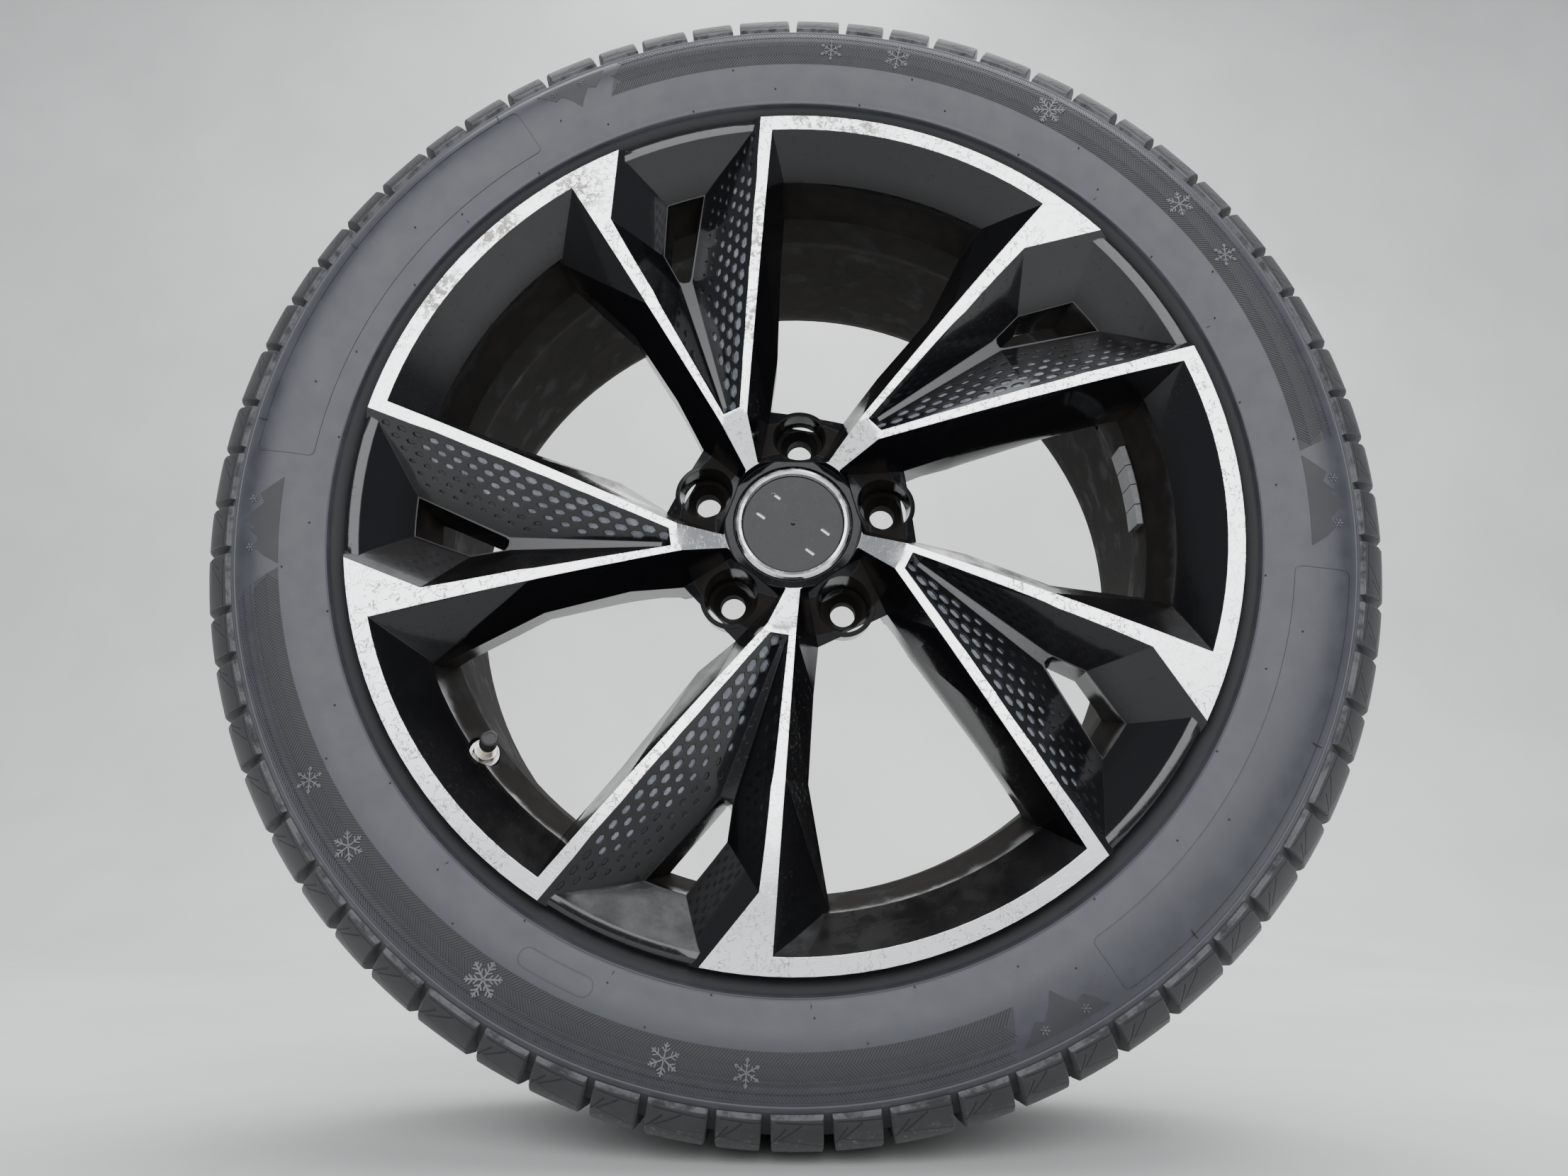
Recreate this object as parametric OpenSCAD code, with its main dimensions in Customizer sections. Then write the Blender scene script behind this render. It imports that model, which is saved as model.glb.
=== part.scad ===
/* [Rim] */
// Width between the rim's two bead flanges
rim_w = 203.2; // [190:0.1:215]
// Diameter of the bead seats
seat_d = 462; // [458:0.5:466]
// Height of the flanges above the bead seats
flange_h = 17.5; // [15:0.5:19]
// Thickness of the front flange, up to the machined face
front_lip = 15.4; // [13:0.1:18]
// Thickness of the rear flange
rear_lip = 11.4; // [9:0.1:14]
// Wall of the barrel between the spokes and the rear flange
barrel_wall = 5; // [4:0.1:7]
// Depth of the drop centre below the bead seats
well_depth = 16.5; // [14:0.5:18]
// Distance from the wheel's middle plane out to its mounting face
wheel_offset = 40; // [34:0.5:45]

/* [Machined face] */
// Turn of the first spoke away from the top, seen from the front
spoke_turn = -32; // [-36:1:36]
// Radial width of the bright band at the rim
band_w = 10; // [8:0.5:12]
// Radius where the face starts to curve in towards the hub
face_curve_r = 207; // [200:1:212]
// Depth of the face where the two arms of a spoke meet
apex_depth = 13.5; // [11:0.5:16]
// Depth of the face at the tip of the stem
tip_depth = 30; // [27:0.5:33]
// Radius at the tip of the stem
tip_r = 41; // [40:0.5:43]
// Width of the straight arm where it leaves the stem
arm_b_root_w = 4; // [3:0.5:6]
// Width of the straight arm at its foot
arm_b_foot_w = 9.2; // [7:0.5:11]
// Width of the slanting arm where it leaves the stem
arm_a_root_w = 4.6; // [3.5:0.1:6]
// Width of the slanting arm at the rim
arm_a_rim_w = 7.4; // [6:0.1:9]
// Slant of the second arm away from the first
arm_a_slant = 35.5; // [34:0.5:37]

/* [Pockets] */
// Depth of the pocket floor below the machined face
pocket_depth = 25; // [22:0.5:28]
// Depth of the painted rim lip below the machined face
lip_drop = 3; // [1.5:0.5:4]
// Radius where the pocket ends towards the hub
pocket_apex_r = 71; // [69:1:75]
// Length of a dimple in the slanting wall
dimple_l = 8.4; // [5:0.1:9]
// Width of a dimple
dimple_w = 3.8; // [2:0.1:4.4]
// Distance between dimples along a row
dimple_pitch = 10.2; // [9.6:0.1:12]
// Distance between rows of dimples
dimple_row = 5.6; // [5:0.1:7]
// Depth of a dimple
dimple_depth = 1; // [0.6:0.1:1.5]

/* [Windows] */
// Depth where the cone below the band ends
cone_depth = 25; // [22:0.5:28]
// Radial slope of that cone, in millimetres from its top to its end
cone_run = 19; // [16:0.5:22]
// Depth where the rear of the spokes meets the barrel
disc_back = 51.5; // [48:0.5:55]
// Depth of the parting line on the sides of the arms
parting_depth = 31; // [29:0.5:34]
// How far the sides of the arms spread down to the parting line
arm_spread = 12; // [9:0.5:14]

/* [Hub] */
// Diameter of the bolt circle
bolt_circle = 112; // [108:0.5:114.3]
// Diameter of the bolt holes
bolt_hole_d = 15; // [13:0.5:16]
// Diameter of a bolt recess at its mouth
recess_d = 32; // [30:0.5:33]
// Diameter of the centre bore
bore_d = 66.6; // [63:0.1:68]
// Diameter of the flat mounting face
pad_d = 150; // [146:1:154]
// Depth of the hub's front surface at the bolt circle
lobe_depth = 41; // [39:0.5:43]

/* [Tyre] */
// Outer diameter of the tyre
tyre_d = 677.7; // [670:0.1:684]
// Width of the tyre at its sidewalls
section_w = 242; // [238:0.5:247]
// Number of shoulder blocks around the tyre
block_n = 65; // [60:5:70]
// Width of a groove between two shoulder blocks
block_gap = 6.5; // [5:0.5:8]
// Depth of the tread grooves
tread_depth = 8; // [6:0.5:9]
// Thickness of the tyre's sidewall
sidewall = 9; // [7:0.5:11]
// Gap between the tyre's beads and the rim
bead_gap = 0.2; // [0.1:0.05:0.4]

/* [Centre cap] */
// Outer diameter of the bright ring
ring_d = 69; // [67:0.5:69.5]
// Radial width of the bright ring
ring_w = 5.3; // [4:0.1:6.5]
// Gap between the cap and its seat in the hub
cap_gap = 0.35; // [0.3:0.05:0.6]
// Diameter of the throat that the cap snaps into
throat_d = 58; // [55:0.5:59]
// Number of clip fingers
finger_n = 8; // [6:1:10]
// Thickness of the cap's face
cap_face_t = 2.2; // [1.8:0.1:3]

/* [Valve] */
// Angle of the valve around the wheel, clockwise from the top
valve_angle = 232; // [229:1:235]
// Lean of the valve from the wheel's axis towards the hub
valve_lean = 27; // [25:1:29]
// Diameter of the threaded stem
stem_d = 7.7; // [7.5:0.1:8]
// Diameter of the valve hole
valve_hole_d = 11.3; // [11:0.1:12]
// Distance across the flats of the nut
nut_af = 12; // [11.5:0.5:13]
// Length from the nut's seat to the end of the stem
stem_l = 20; // [19:0.5:22]
// Outer diameter of the cap
valve_cap_d = 9.6; // [9.6:0.1:10.5]
// Length of the cap
valve_cap_l = 9.6; // [8.6:0.1:10.4]
// Number of ribs around the cap
rib_n = 24; // [18:1:28]
// Running gap between the cap and the stem
thread_gap = 0.2; // [0.15:0.05:0.3]

/* [Balance weights] */
// Angle of the first weight's edge, clockwise from the top
weight_start = 74.7; // [70:0.1:76]
// Width of a weight along the barrel
weight_w = 18; // [16:0.5:19]
// Length of a weight around the barrel
weight_l = 12; // [10:0.5:12.4]
// Thickness of a weight
weight_t = 3.4; // [2.5:0.1:4]
// Thickness of the adhesive tape
tape_t = 0.8; // [0.5:0.1:1.2]

/* [Hidden] */
$fn = 96;

spoke_n = 5;
sector = 360 / spoke_n;
seat_r = seat_d / 2;
flange_r = seat_r + flange_h;
face_z = rim_w / 2 + front_lip;
rear_z = -rim_w / 2 - rear_lip;
back_z = wheel_offset;
hub_t = face_z - back_z;
above = -8;
below = hub_t + 20;

// Height above the middle plane of a point that lies a depth below the machined face
function up(depth) = face_z - depth;

// Depth of the machined face at a radius
function face_depth(r) =
    r >= face_curve_r ? 0
    : r >= pocket_apex_r - 5
        ? apex_depth * (0.3 * (face_curve_r - r) / (face_curve_r - pocket_apex_r)
          + 0.7 * pow((face_curve_r - r) / (face_curve_r - pocket_apex_r), 2))
        : face_depth(pocket_apex_r - 5)
          + (tip_depth - face_depth(pocket_apex_r - 5)) * (pocket_apex_r - 5 - r)
            / (pocket_apex_r - 5 - tip_r);

// A point turned clockwise about the wheel's axis, seen from the front
function turned(p, a) =
    [p[0] * cos(a) + p[1] * sin(a), -p[0] * sin(a) + p[1] * cos(a)];
function at_depth(p, depth) = [p[0], p[1], up(depth)];
function pair(p) = [p[0], p[1]];
function on_face(p) = at_depth(p, face_depth(norm(p)));

// Outlines of the arms in the frame of one spoke, whose straight arm points up
arm_b_x = -6.6;
root_y = 75;
function arm_b_w(y) = arm_b_root_w
    + (arm_b_foot_w - arm_b_root_w) * (y - root_y) / (face_curve_r - root_y);
function b_win(y) = [arm_b_x, y];
function b_pocket(y) = [arm_b_x + arm_b_w(y), y];
arm_a_x = 11.1;
function arm_a_w(y) = (arm_a_root_w
    + (arm_a_rim_w - arm_a_root_w) * (y - root_y) / (face_curve_r - root_y))
    / cos(arm_a_slant);
function a_pocket(y) = [arm_a_x + tan(arm_a_slant) * (y - root_y), y];
function a_win(y) = a_pocket(y) + [arm_a_w(y), 0];

// Corners of the machined face
stem_tip_b = [arm_b_x - 0.4, tip_r - 0.4];
stem_tip_a = [arm_b_x + 7.8, tip_r - 0.2];
stem_bend = a_win(65);
foot_notch = b_pocket(face_curve_r + 1);
foot_dir = [sin(arm_a_slant), cos(arm_a_slant)];

// Deep outlines of the arms at the parting line
function a_deep(y, extra) =
    a_win(y) + (arm_spread + extra) * [cos(arm_a_slant), -sin(arm_a_slant)];
function b_deep(y, extra) = b_win(y) - [arm_spread + extra, 0];

cone_top_r = flange_r - band_w;
cone_end_r = cone_top_r - cone_run;
cone_back_r = cone_end_r - 10;
wedge_r = flange_r + 8;

// Front surface of the hub between the stems, a cone around the bolt circle
lobe_slope = 0.28;
function lobe_at(r) = lobe_depth + (r - bolt_circle / 2) * lobe_slope;

// A closed solid through loops of points, with a flat first and last loop
module loft(loops) {
    n = len(loops[0]);
    m = len(loops);
    points = [for (loop = loops) for (p = loop) p];
    sides = [for (j = [0 : m - 2]) for (i = [0 : n - 1]) for (t = [0, 1])
        t == 0
            ? [j * n + i, j * n + (i + 1) % n, (j + 1) * n + (i + 1) % n]
            : [j * n + i, (j + 1) * n + (i + 1) % n, (j + 1) * n + i]];
    first = [[for (i = [n - 1 : -1 : 0]) i]];
    last = [[for (i = [0 : n - 1]) (m - 1) * n + i]];
    polyhedron(points, concat(first, sides, last), convexity = 6);
}

// Everything is drawn facing +Z and then stood up to face -Y
module stood_up() {
    rotate([90, 0, 0]) children();
}

module at_angle(a) {
    rotate([0, 0, -a]) children();
}

module at_spokes() {
    for (k = [0 : spoke_n - 1]) at_angle(spoke_turn + k * sector) children();
}

module spun(points) {
    rotate_extrude($fn = 180) polygon(points);
}

// Barrel, flanges and the blank of the disc, as one turned section
well_r = seat_r - well_depth;
barrel_in_r = well_r - barrel_wall + 0.2;
seat_front_z = rim_w / 2 - 5;
hump_z = rim_w / 2 - 24;
module wheel_blank() {
    face_rs = [185, 165, 140, 115, 90, pocket_apex_r, pocket_apex_r - 5];
    front = concat(
        [[throat_d / 2, up(lobe_depth)], [ring_seat_r, up(lobe_depth)],
         [ring_seat_r, up(collar_depth)], [tip_r - 1.5, up(collar_depth + 0.8)],
         [tip_r - 0.6, up(tip_depth)]],
        [for (i = [len(face_rs) - 1 : -1 : 0]) [face_rs[i], up(face_depth(face_rs[i]))]],
        [[face_curve_r, face_z], [flange_r - 0.6, face_z], [flange_r, face_z - 0.8]]);
    tyre_side = [
        [flange_r, face_z - 9], [flange_r - 3, rim_w / 2 + 1.6],
        [flange_r - 8, rim_w / 2], [seat_r + 4, rim_w / 2], [seat_r, seat_front_z],
        [seat_r - 1.6, hump_z + 6], [seat_r - 0.4, hump_z], [seat_r - 3, hump_z - 5],
        [well_r, hump_z - 16], [well_r, 38], [well_r + 5, 24],
        [seat_r - 3, -hump_z + 5], [seat_r - 0.4, -hump_z], [seat_r - 1.6, -hump_z - 6],
        [seat_r, -seat_front_z], [seat_r + 4, -rim_w / 2], [flange_r - 8, -rim_w / 2],
        [flange_r - 3, -rim_w / 2 - 1.6], [flange_r, -rim_w / 2 - 6],
        [flange_r, rear_z + 2], [flange_r - 2, rear_z], [seat_r + 1, rear_z]];
    inside = [
        [seat_r - 1, rear_z + 6], [seat_r - barrel_wall, -rim_w / 2 + 6],
        [seat_r - barrel_wall - 1, -hump_z - 3],
        [well_r + 5 - barrel_wall, 24], [barrel_in_r, 40], [barrel_in_r, up(disc_back)],
        [barrel_in_r - 7, up(disc_back - 2.5)], [160, up(disc_back - 1.5)],
        [110, up(disc_back + 4)], [pad_d / 2 + 12, up(hub_t - 15)],
        [pad_d / 2 + 2, up(hub_t - 7)], [pad_d / 2, back_z],
        [bore_d / 2, back_z], [bore_d / 2, up(throat_back + clip_space)],
        [bore_d / 2 - 2, up(throat_back + clip_space)], [bore_d / 2 - 2, up(throat_back)],
        [throat_d / 2, up(throat_back)]];
    spun(concat(front, tyre_side, inside));
}

// Radii of the window's corners on its two long sides, and of the same corners deep down
a_band_r = 220;
a_arm_r = 155;
fork_r = 100;
b_root_r = 70;
b_arm_r = 150;
b_band_r = 250;
a_deep_r = 206;
b_deep_r = 222;
b_deep_draft = 18;

// The space between two spokes, from the hub out to the band
module gap_wedge() {
    a_face = [a_win(a_band_r), a_win(a_arm_r), a_win(fork_r), stem_bend, stem_tip_a];
    b_face = [stem_tip_b, b_win(b_root_r), b_win(fork_r), b_win(b_arm_r), b_win(b_band_r)];
    outside = [turned([0, wedge_r + 14], 58), turned([0, wedge_r + 14], 42)];
    hub_a = a_win(65) + [17, 3];
    a_base = [at_depth(a_deep(a_deep_r, -2), parting_depth),
              at_depth(a_deep(a_arm_r, -1.5), parting_depth),
              at_depth(a_deep(fork_r, 2), parting_depth),
              at_depth(hub_a, lobe_at(75)), at_depth(stem_tip_a + [4, 3], lobe_at(tip_r) + 1)];
    b_base = [at_depth(stem_tip_b - [5, 0], lobe_at(tip_r) + 1),
              at_depth(b_deep(b_root_r, 1), lobe_at(75)),
              at_depth(b_deep(fork_r, 0), parting_depth),
              at_depth(b_deep(b_arm_r, 0.4), parting_depth),
              at_depth(b_deep(b_deep_r, b_deep_draft), parting_depth)];
    b_turned = [for (p = b_base) concat(turned(pair(p), sector), [p[2]])];
    face_xy = concat([for (p = b_face) turned(p, sector)], outside, a_face);
    base = concat(b_turned, [for (p = outside) at_depth(p, parting_depth)], a_base);
    centre = turned([0, 140], 50);
    loft([
        [for (p = face_xy) at_depth(p, above)],
        [for (p = face_xy) on_face(p)],
        base,
        [for (p = base) at_depth(pair(p) + 3 * (pair(p) - centre) / norm(pair(p) - centre), below)]]);
}

// Keeps a window inside the cone below the band and clear of the barrel
module window_limit() {
    spun([[20, up(above - 2)], [cone_top_r + 6, up(above - 2)], [cone_top_r, up(0)],
          [cone_end_r, up(cone_depth)], [cone_end_r - 0.6, up(cone_depth + 0.6)],
          [cone_back_r, up(disc_back)], [cone_back_r, up(below + 2)], [20, up(below + 2)]]);
}

// Half the size of a cutter that reaches past everything it meets
cutter = 200;

// Everything outward of the straight outer edge of a bolt lobe
lobe_turn = 42.4;
lobe_edge_r = bolt_circle / 2 + 15;
module beyond_lobe() {
    at_angle(lobe_turn)
        translate([0, lobe_edge_r, up(lobe_at(lobe_edge_r))])
            rotate([-14, 0, 0])
                translate([-cutter, 0, -cutter]) cube([2 * cutter, 2 * cutter, 2 * cutter]);
}

// Everything in front of the hub's sloping surface between the stems
collar_depth = 34.8;
ring_seat_r = ring_d / 2 + cap_gap;
module hub_relief() {
    inner = ring_seat_r + 3;
    outer = lobe_edge_r + 30;
    spun([[inner, up(above - 2)], [inner, up(lobe_at(inner))], [outer, up(lobe_at(outer))],
          [outer, up(above - 2)]]);
}

// The recess between the two arms of a spoke, down to its floor
floor_apex = 5.5;
slot_foot = b_pocket(161) + [19.5, 0];
slot_right = slot_foot + [7.6, -1.2];
floor_notch = foot_notch + [19.2, -24.3];
floor_dir = [sin(34), cos(34)];
slot_dir = [sin(38.2), cos(38.2)];
slot_edge = slot_right + 61 * slot_dir;

// The wall beside the second arm runs in rulings from the arm's edge down to the floor
wall_steps = 6;
wall_y0 = pocket_apex_r - 1;
wall_y1 = 139;
wall_y2 = 228;
half_steps = wall_steps / 2;
foot0 = at_depth(a_pocket(wall_y0) + [-5.6, 5.6], face_depth(pocket_apex_r) + floor_apex);
foot1 = at_depth(slot_right, pocket_depth);
foot2 = at_depth(slot_right + 92 * slot_dir, pocket_depth);
function mix(a, b, t) = a + (b - a) * t;
function wall_y(u) = u <= half_steps
    ? mix(wall_y0, wall_y1, u / half_steps)
    : mix(wall_y1, wall_y2, u / half_steps - 1);
function wall_u(y) = y <= wall_y1
    ? half_steps * (y - wall_y0) / (wall_y1 - wall_y0)
    : half_steps * (1 + (y - wall_y1) / (wall_y2 - wall_y1));
function wall_top(u) = on_face(a_pocket(wall_y(u)));
function wall_foot(u) = u <= half_steps
    ? mix(foot0, foot1, u / half_steps)
    : mix(foot1, foot2, u / half_steps - 1);

wall_overrun = 0.04;
module pocket_wedge() {
    apex_b = b_pocket(pocket_apex_r);
    rim_b = foot_notch + 55 * foot_dir;
    near_face = [for (u = [0 : wall_steps]) pair(wall_top(u))];
    near_floor = [for (u = [0 : wall_steps]) wall_foot(u)];
    face = concat(near_face, [rim_b, foot_notch, b_pocket(155), apex_b]);
    floor = concat(near_floor,
                   [at_depth(floor_notch + 72 * floor_dir, pocket_depth),
                    at_depth(floor_notch, pocket_depth), at_depth(slot_foot, pocket_depth),
                    at_depth(apex_b + [2.4, 5.6], face_depth(pocket_apex_r) + floor_apex)]);
    n = len(face);
    m = 2 * n + half_steps;
    // The walls carry on a little above the face, so that they cross it cleanly
    brim = [for (i = [0 : n - 1]) mix(floor[i], on_face(face[i]), 1 + wall_overrun)];
    points = concat([for (p = brim) at_depth(p, above)], brim, floor);
    sides = [for (j = [0, 1]) for (i = [0 : n - 1]) for (t = [0, 1])
        t == 0
            ? [j * n + i, j * n + (i + 1) % n, (j + 1) * n + (i + 1) % n]
            : [j * n + i, (j + 1) * n + (i + 1) % n, (j + 1) * n + i]];
    lid = [[for (i = [n - 1 : -1 : 0]) i]];
    strip = concat([for (i = [0 : half_steps - 1]) [3 * n - 1, 2 * n + i, 2 * n + i + 1]],
                   [[3 * n - 1, m, 3 * n - 2]]);
    flat = [concat([for (i = [m : 3 * n - 2]) i])];
    polyhedron(points, concat(lid, sides, strip, flat), convexity = 6);
}

// Painted rim lip and the sloping end wall of a pocket
slot_out_r = cone_end_r - 2.6;
module pocket_limit() {
    spun([[40, up(above - 2)], [wedge_r, up(above - 2)], [wedge_r, up(lip_drop + 4)],
          [flange_r, up(lip_drop + 1.6)], [flange_r - 1.4, up(lip_drop + 0.3)],
          [flange_r - 4, up(lip_drop)], [flange_r - 7.5, up(lip_drop + 0.5)],
          [cone_top_r, up(lip_drop + 3)], [slot_out_r, up(pocket_depth)],
          [slot_out_r, up(pocket_depth + 2)], [40, up(pocket_depth + 2)]]);
}

// The slot through the outer end of a pocket's floor
slot_ledge = 0.5;
module slot_cut() {
    bottom_b = slot_foot + [0.8, 3];
    low = slot_foot + [2.8, 0.8];
    high = slot_right + [-1.8, 0.8];
    bottom_a = slot_right + [0.4, 2.4];
    top_a = slot_edge + 8 * slot_dir - [slot_ledge, 0];
    top_b = floor_notch + 42 * floor_dir + [slot_ledge, 0];
    notch = floor_notch + [slot_ledge, 0];
    loop = [bottom_b, low, high, bottom_a, top_a, top_b, notch];
    deep = [bottom_b + [1.4, 2.5], low + [0.6, 3], high + [-0.8, 3], bottom_a + [-2.2, 3],
            top_a - [7, 0], top_b + [1, -2], notch + [1.4, 0]];
    end_wall_r = slot_out_r - slot_ledge;
    intersection() {
        loft([[for (p = loop) at_depth(p, pocket_depth - 3)],
              [for (p = loop) at_depth(p, pocket_depth)],
              [for (p = deep) at_depth(p, pocket_depth + 22)],
              [for (p = deep) at_depth(p, below)]]);
        spun([[120, up(pocket_depth - 4)], [end_wall_r, up(pocket_depth - 4)],
              [end_wall_r, up(pocket_depth)], [cone_back_r - 1, up(disc_back)],
              [cone_back_r - 1, up(below + 2)], [120, up(below + 2)]]);
    }
}

// Rows of six-sided dimples set square into the slanting wall beside the second arm
dimple_rows = 6;
dimple_margin = 5.4;
end_slope = (cone_top_r - slot_out_r) / (pocket_depth - lip_drop - 3);
function end_r(p) = cone_top_r - (face_z - p[2] - lip_drop - 3) * end_slope;
function unit(v) = v / norm(v);
function dimple_size(y, row) = (1.22 - 0.5 * (y - wall_y0) / (face_curve_r - wall_y0)) * (1 - 0.1 * row);
module dimple(size) {
    half = min(size * dimple_l, dimple_pitch - 1.2) / 2;
    wide = size * dimple_w / 2;
    translate([0, 0, -dimple_depth])
        linear_extrude(3 * dimple_depth)
            polygon([[-half, 0], [-half / 2, wide], [half / 2, wide], [half, 0],
                     [half / 2, -wide], [-half / 2, -wide]]);
}

module dimples() {
    step = dimple_pitch * cos(arm_a_slant);
    for (row = [0 : dimple_rows - 1], i = [0 : ceil((face_curve_r - wall_y0) / step)]) {
        u = wall_u(wall_y0 + (i + (row % 2) / 2) * step);
        top = wall_top(u);
        foot = wall_foot(u);
        wall_w = norm(foot - top);
        v = dimple_margin + row * dimple_row;
        centre = mix(top, foot, v / wall_w);
        along = unit(mix(wall_top(u + 0.1), wall_foot(u + 0.1), v / wall_w) - centre);
        slope = foot - top;
        across = unit(slope - along * (slope * along));
        out = cross(along, across);
        if (v + dimple_w / 2 + 1.2 < wall_w && norm(pair(centre)) + dimple_l / 2 + 1 < end_r(centre))
            multmatrix([[along[0], across[0], out[0], centre[0]],
                        [along[1], across[1], out[1], centre[1]],
                        [along[2], across[2], out[2], centre[2]],
                        [0, 0, 0, 1]])
                dimple(dimple_size(wall_y(u), row));
    }
}

// Hollow in the back of a spoke, and one in the back of the hub
module back_hollows() {
    loop = [[-10, 96], [30, 96], [66, 146], [94, 188], [64, 188], [26, 148], [-10, 140]];
    depths = [39, 37, 31, 31, 36, 39, 39];
    centre = [22, 130];
    loft([[for (i = [0 : len(loop) - 1]) at_depth(loop[i], depths[i])],
          [for (p = loop) at_depth(centre + (p - centre) * 1.08, below)]]);
    translate([0, bolt_circle / 2, back_z - 1]) cylinder(h = 24, r1 = 12, r2 = 10);
}

// One bolt hole with its wide recess and tapered seat
recess_floor = 59;
module bolt_hole() {
    seat_top_r = 11.3;
    translate([0, bolt_circle / 2, 0]) {
        translate([0, 0, up(recess_floor)])
            cylinder(h = recess_floor - 28, r1 = recess_d / 2 - 1.9, r2 = recess_d / 2 + 1.2);
        translate([0, 0, up(recess_floor + 1.5)]) cylinder(h = 2.5, r = seat_top_r);
        translate([0, 0, up(recess_floor + 7.5)])
            cylinder(h = 6.01, r1 = bolt_hole_d / 2, r2 = seat_top_r);
        translate([0, 0, back_z - 1]) cylinder(h = hub_t, d = bolt_hole_d);
    }
}

// Places a child on the valve's axis, with its nut's seat at z = 0
valve_r = cone_end_r - 2.2;
valve_depth = cone_depth + 11;
valve_wall = 10;
boss_h = 8;
module at_valve() {
    at_angle(valve_angle)
        translate([0, valve_r, up(valve_depth)])
            rotate([valve_lean, 0, 0]) children();
}

module valve_boss() {
    at_valve() translate([0, 0, -boss_h]) cylinder(h = boss_h, d = nut_af + 6, $fn = 48);
}

module valve_bore() {
    at_valve() {
        translate([0, 0, -40]) cylinder(h = 50, d = valve_hole_d, $fn = 48);
        cylinder(h = 12, d = nut_af + 7, $fn = 48);
        translate([0, 0, -valve_wall - 14]) cylinder(h = 14, d = valve_hole_d + 9, $fn = 48);
    }
}

throat_back = 48;
clip_space = 5;

// The wheel is cut in the order that it would be made: windows, pockets, then holes
module windowed_disc() {
    difference() {
        difference() {
            wheel_blank();
            at_spokes() intersection() {
                gap_wedge();
                window_limit();
                beyond_lobe();
            }
        }
        at_spokes() intersection() {
            gap_wedge();
            hub_relief();
        }
    }
}

module pocketed_disc() {
    difference() {
        difference() {
            windowed_disc();
            at_spokes() intersection() {
                pocket_wedge();
                pocket_limit();
            }
        }
        at_spokes() slot_cut();
    }
}

module bored_wheel() {
    difference() {
        difference() {
            pocketed_disc();
            at_spokes() at_angle(sector / 2) bolt_hole();
        }
        at_spokes() back_hollows();
    }
}

module alloy_wheel() {
    color("dimgray") stood_up() difference() {
        difference() {
            union() {
                bored_wheel();
                valve_boss();
            }
            valve_bore();
        }
        at_spokes() dimples();
    }
}

// Outer section of the tyre from the middle of the tread to the front bead
tyre_r = tyre_d / 2;
side_z = section_w / 2;
bead_r = seat_r + bead_gap;
bead_z = rim_w / 2 - bead_gap;
shoulder_z = side_z - 8;
block_foot_r = tyre_r - 25.2;
function crown_r(z) = tyre_r - 4.9 * pow(z / (side_z - 34), 2.4);
groove_z = [24, 64];
groove_w = 7;

function groove_points(z) = [
    [crown_r(z - groove_w / 2), z - groove_w / 2], [crown_r(z) - tread_depth, z - groove_w / 2 + 1],
    [crown_r(z) - tread_depth, z + groove_w / 2 - 1], [crown_r(z + groove_w / 2), z + groove_w / 2]];

half_outside = concat(
    groove_points(groove_z[0]), [[crown_r(44), 44]], groove_points(groove_z[1]),
    [[crown_r(87), 87], [tyre_r - 7, side_z - 26], [tyre_r - 9.8, side_z - 20],
     [tyre_r - 14, side_z - 14.4], [tyre_r - 19.5, side_z - 10.5], [block_foot_r, shoulder_z],
     [block_foot_r - 2.2, shoulder_z - 0.6], [block_foot_r - 4, shoulder_z + 1.6],
     [block_foot_r - 6.2, shoulder_z + 3.2], [block_foot_r - 12, side_z - 1.4],
     [block_foot_r - 22, side_z], [block_foot_r - 33, side_z - 0.8],
     [block_foot_r - 44, side_z - 3], [flange_r + 9.6, side_z - 6.2],
     [flange_r + 8.4, side_z - 7.4], [flange_r + 3.4, side_z - 11],
     [flange_r + 1, side_z - 15], [flange_r - 3, rim_w / 2 + 1.2],
     [flange_r - 8, bead_z], [seat_r + 4.4, bead_z], [bead_r, seat_front_z - bead_gap],
     [seat_r - 1.4 + bead_gap, hump_z + 7]]);

half_inside = [
    [seat_r + 3, hump_z + 5], [seat_r + 14, hump_z + 9], [flange_r + 10, side_z - 9 - sidewall],
    [flange_r + 28, side_z - sidewall], [block_foot_r - 22, side_z - sidewall],
    [block_foot_r - 6, side_z - 5 - sidewall], [tyre_r - 22, side_z - 24],
    [tyre_r - 19, side_z - 42], [tyre_r - tread_depth - 9, 0]];

module tyre_section() {
    outside = concat(half_outside, [for (i = [0 : len(half_inside) - 2]) half_inside[i]]);
    n = len(outside);
    spun(concat([[tyre_r, 0]], outside, [[tyre_r - tread_depth - 9, 0]],
                [for (i = [n - 1 : -1 : 0]) [outside[i][0], -outside[i][1]]]));
}

// Lengths of the blocks follow a short cycle, so that they vary around the tyre
block_cycle = [1.02, 0.9, 0.94, 1, 1.13, 0.94, 1, 0.88, 1.12, 0.91, 1.04, 0.96, 1.16];
cycle_n = len(block_cycle);
function cycle_sum(n) = n <= 0 ? 0 : block_cycle[(n - 1) % cycle_n] + cycle_sum(n - 1);
block_total = cycle_sum(block_n);
function block_angle(n) = 360 * cycle_sum(n) / block_total;

// A groove that crosses both outer rows of blocks and ends on the sidewall
module shoulder_groove() {
    floor_r = crown_r(80) - tread_depth;
    start_r = crown_r(groove_z[0]) - tread_depth;
    rotate([90, 0, 90])
        translate([0, 0, -block_gap / 2])
            linear_extrude(block_gap)
                polygon([[tyre_r + 5, groove_z[0]], [tyre_r + 5, side_z + 6],
                         [block_foot_r - 1, side_z + 6], [block_foot_r - 1, shoulder_z - 2],
                         [tyre_r - 21, side_z - 17], [floor_r - 2, side_z - 27],
                         [floor_r, groove_z[1]], [start_r, groove_z[0]]]);
}

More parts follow.
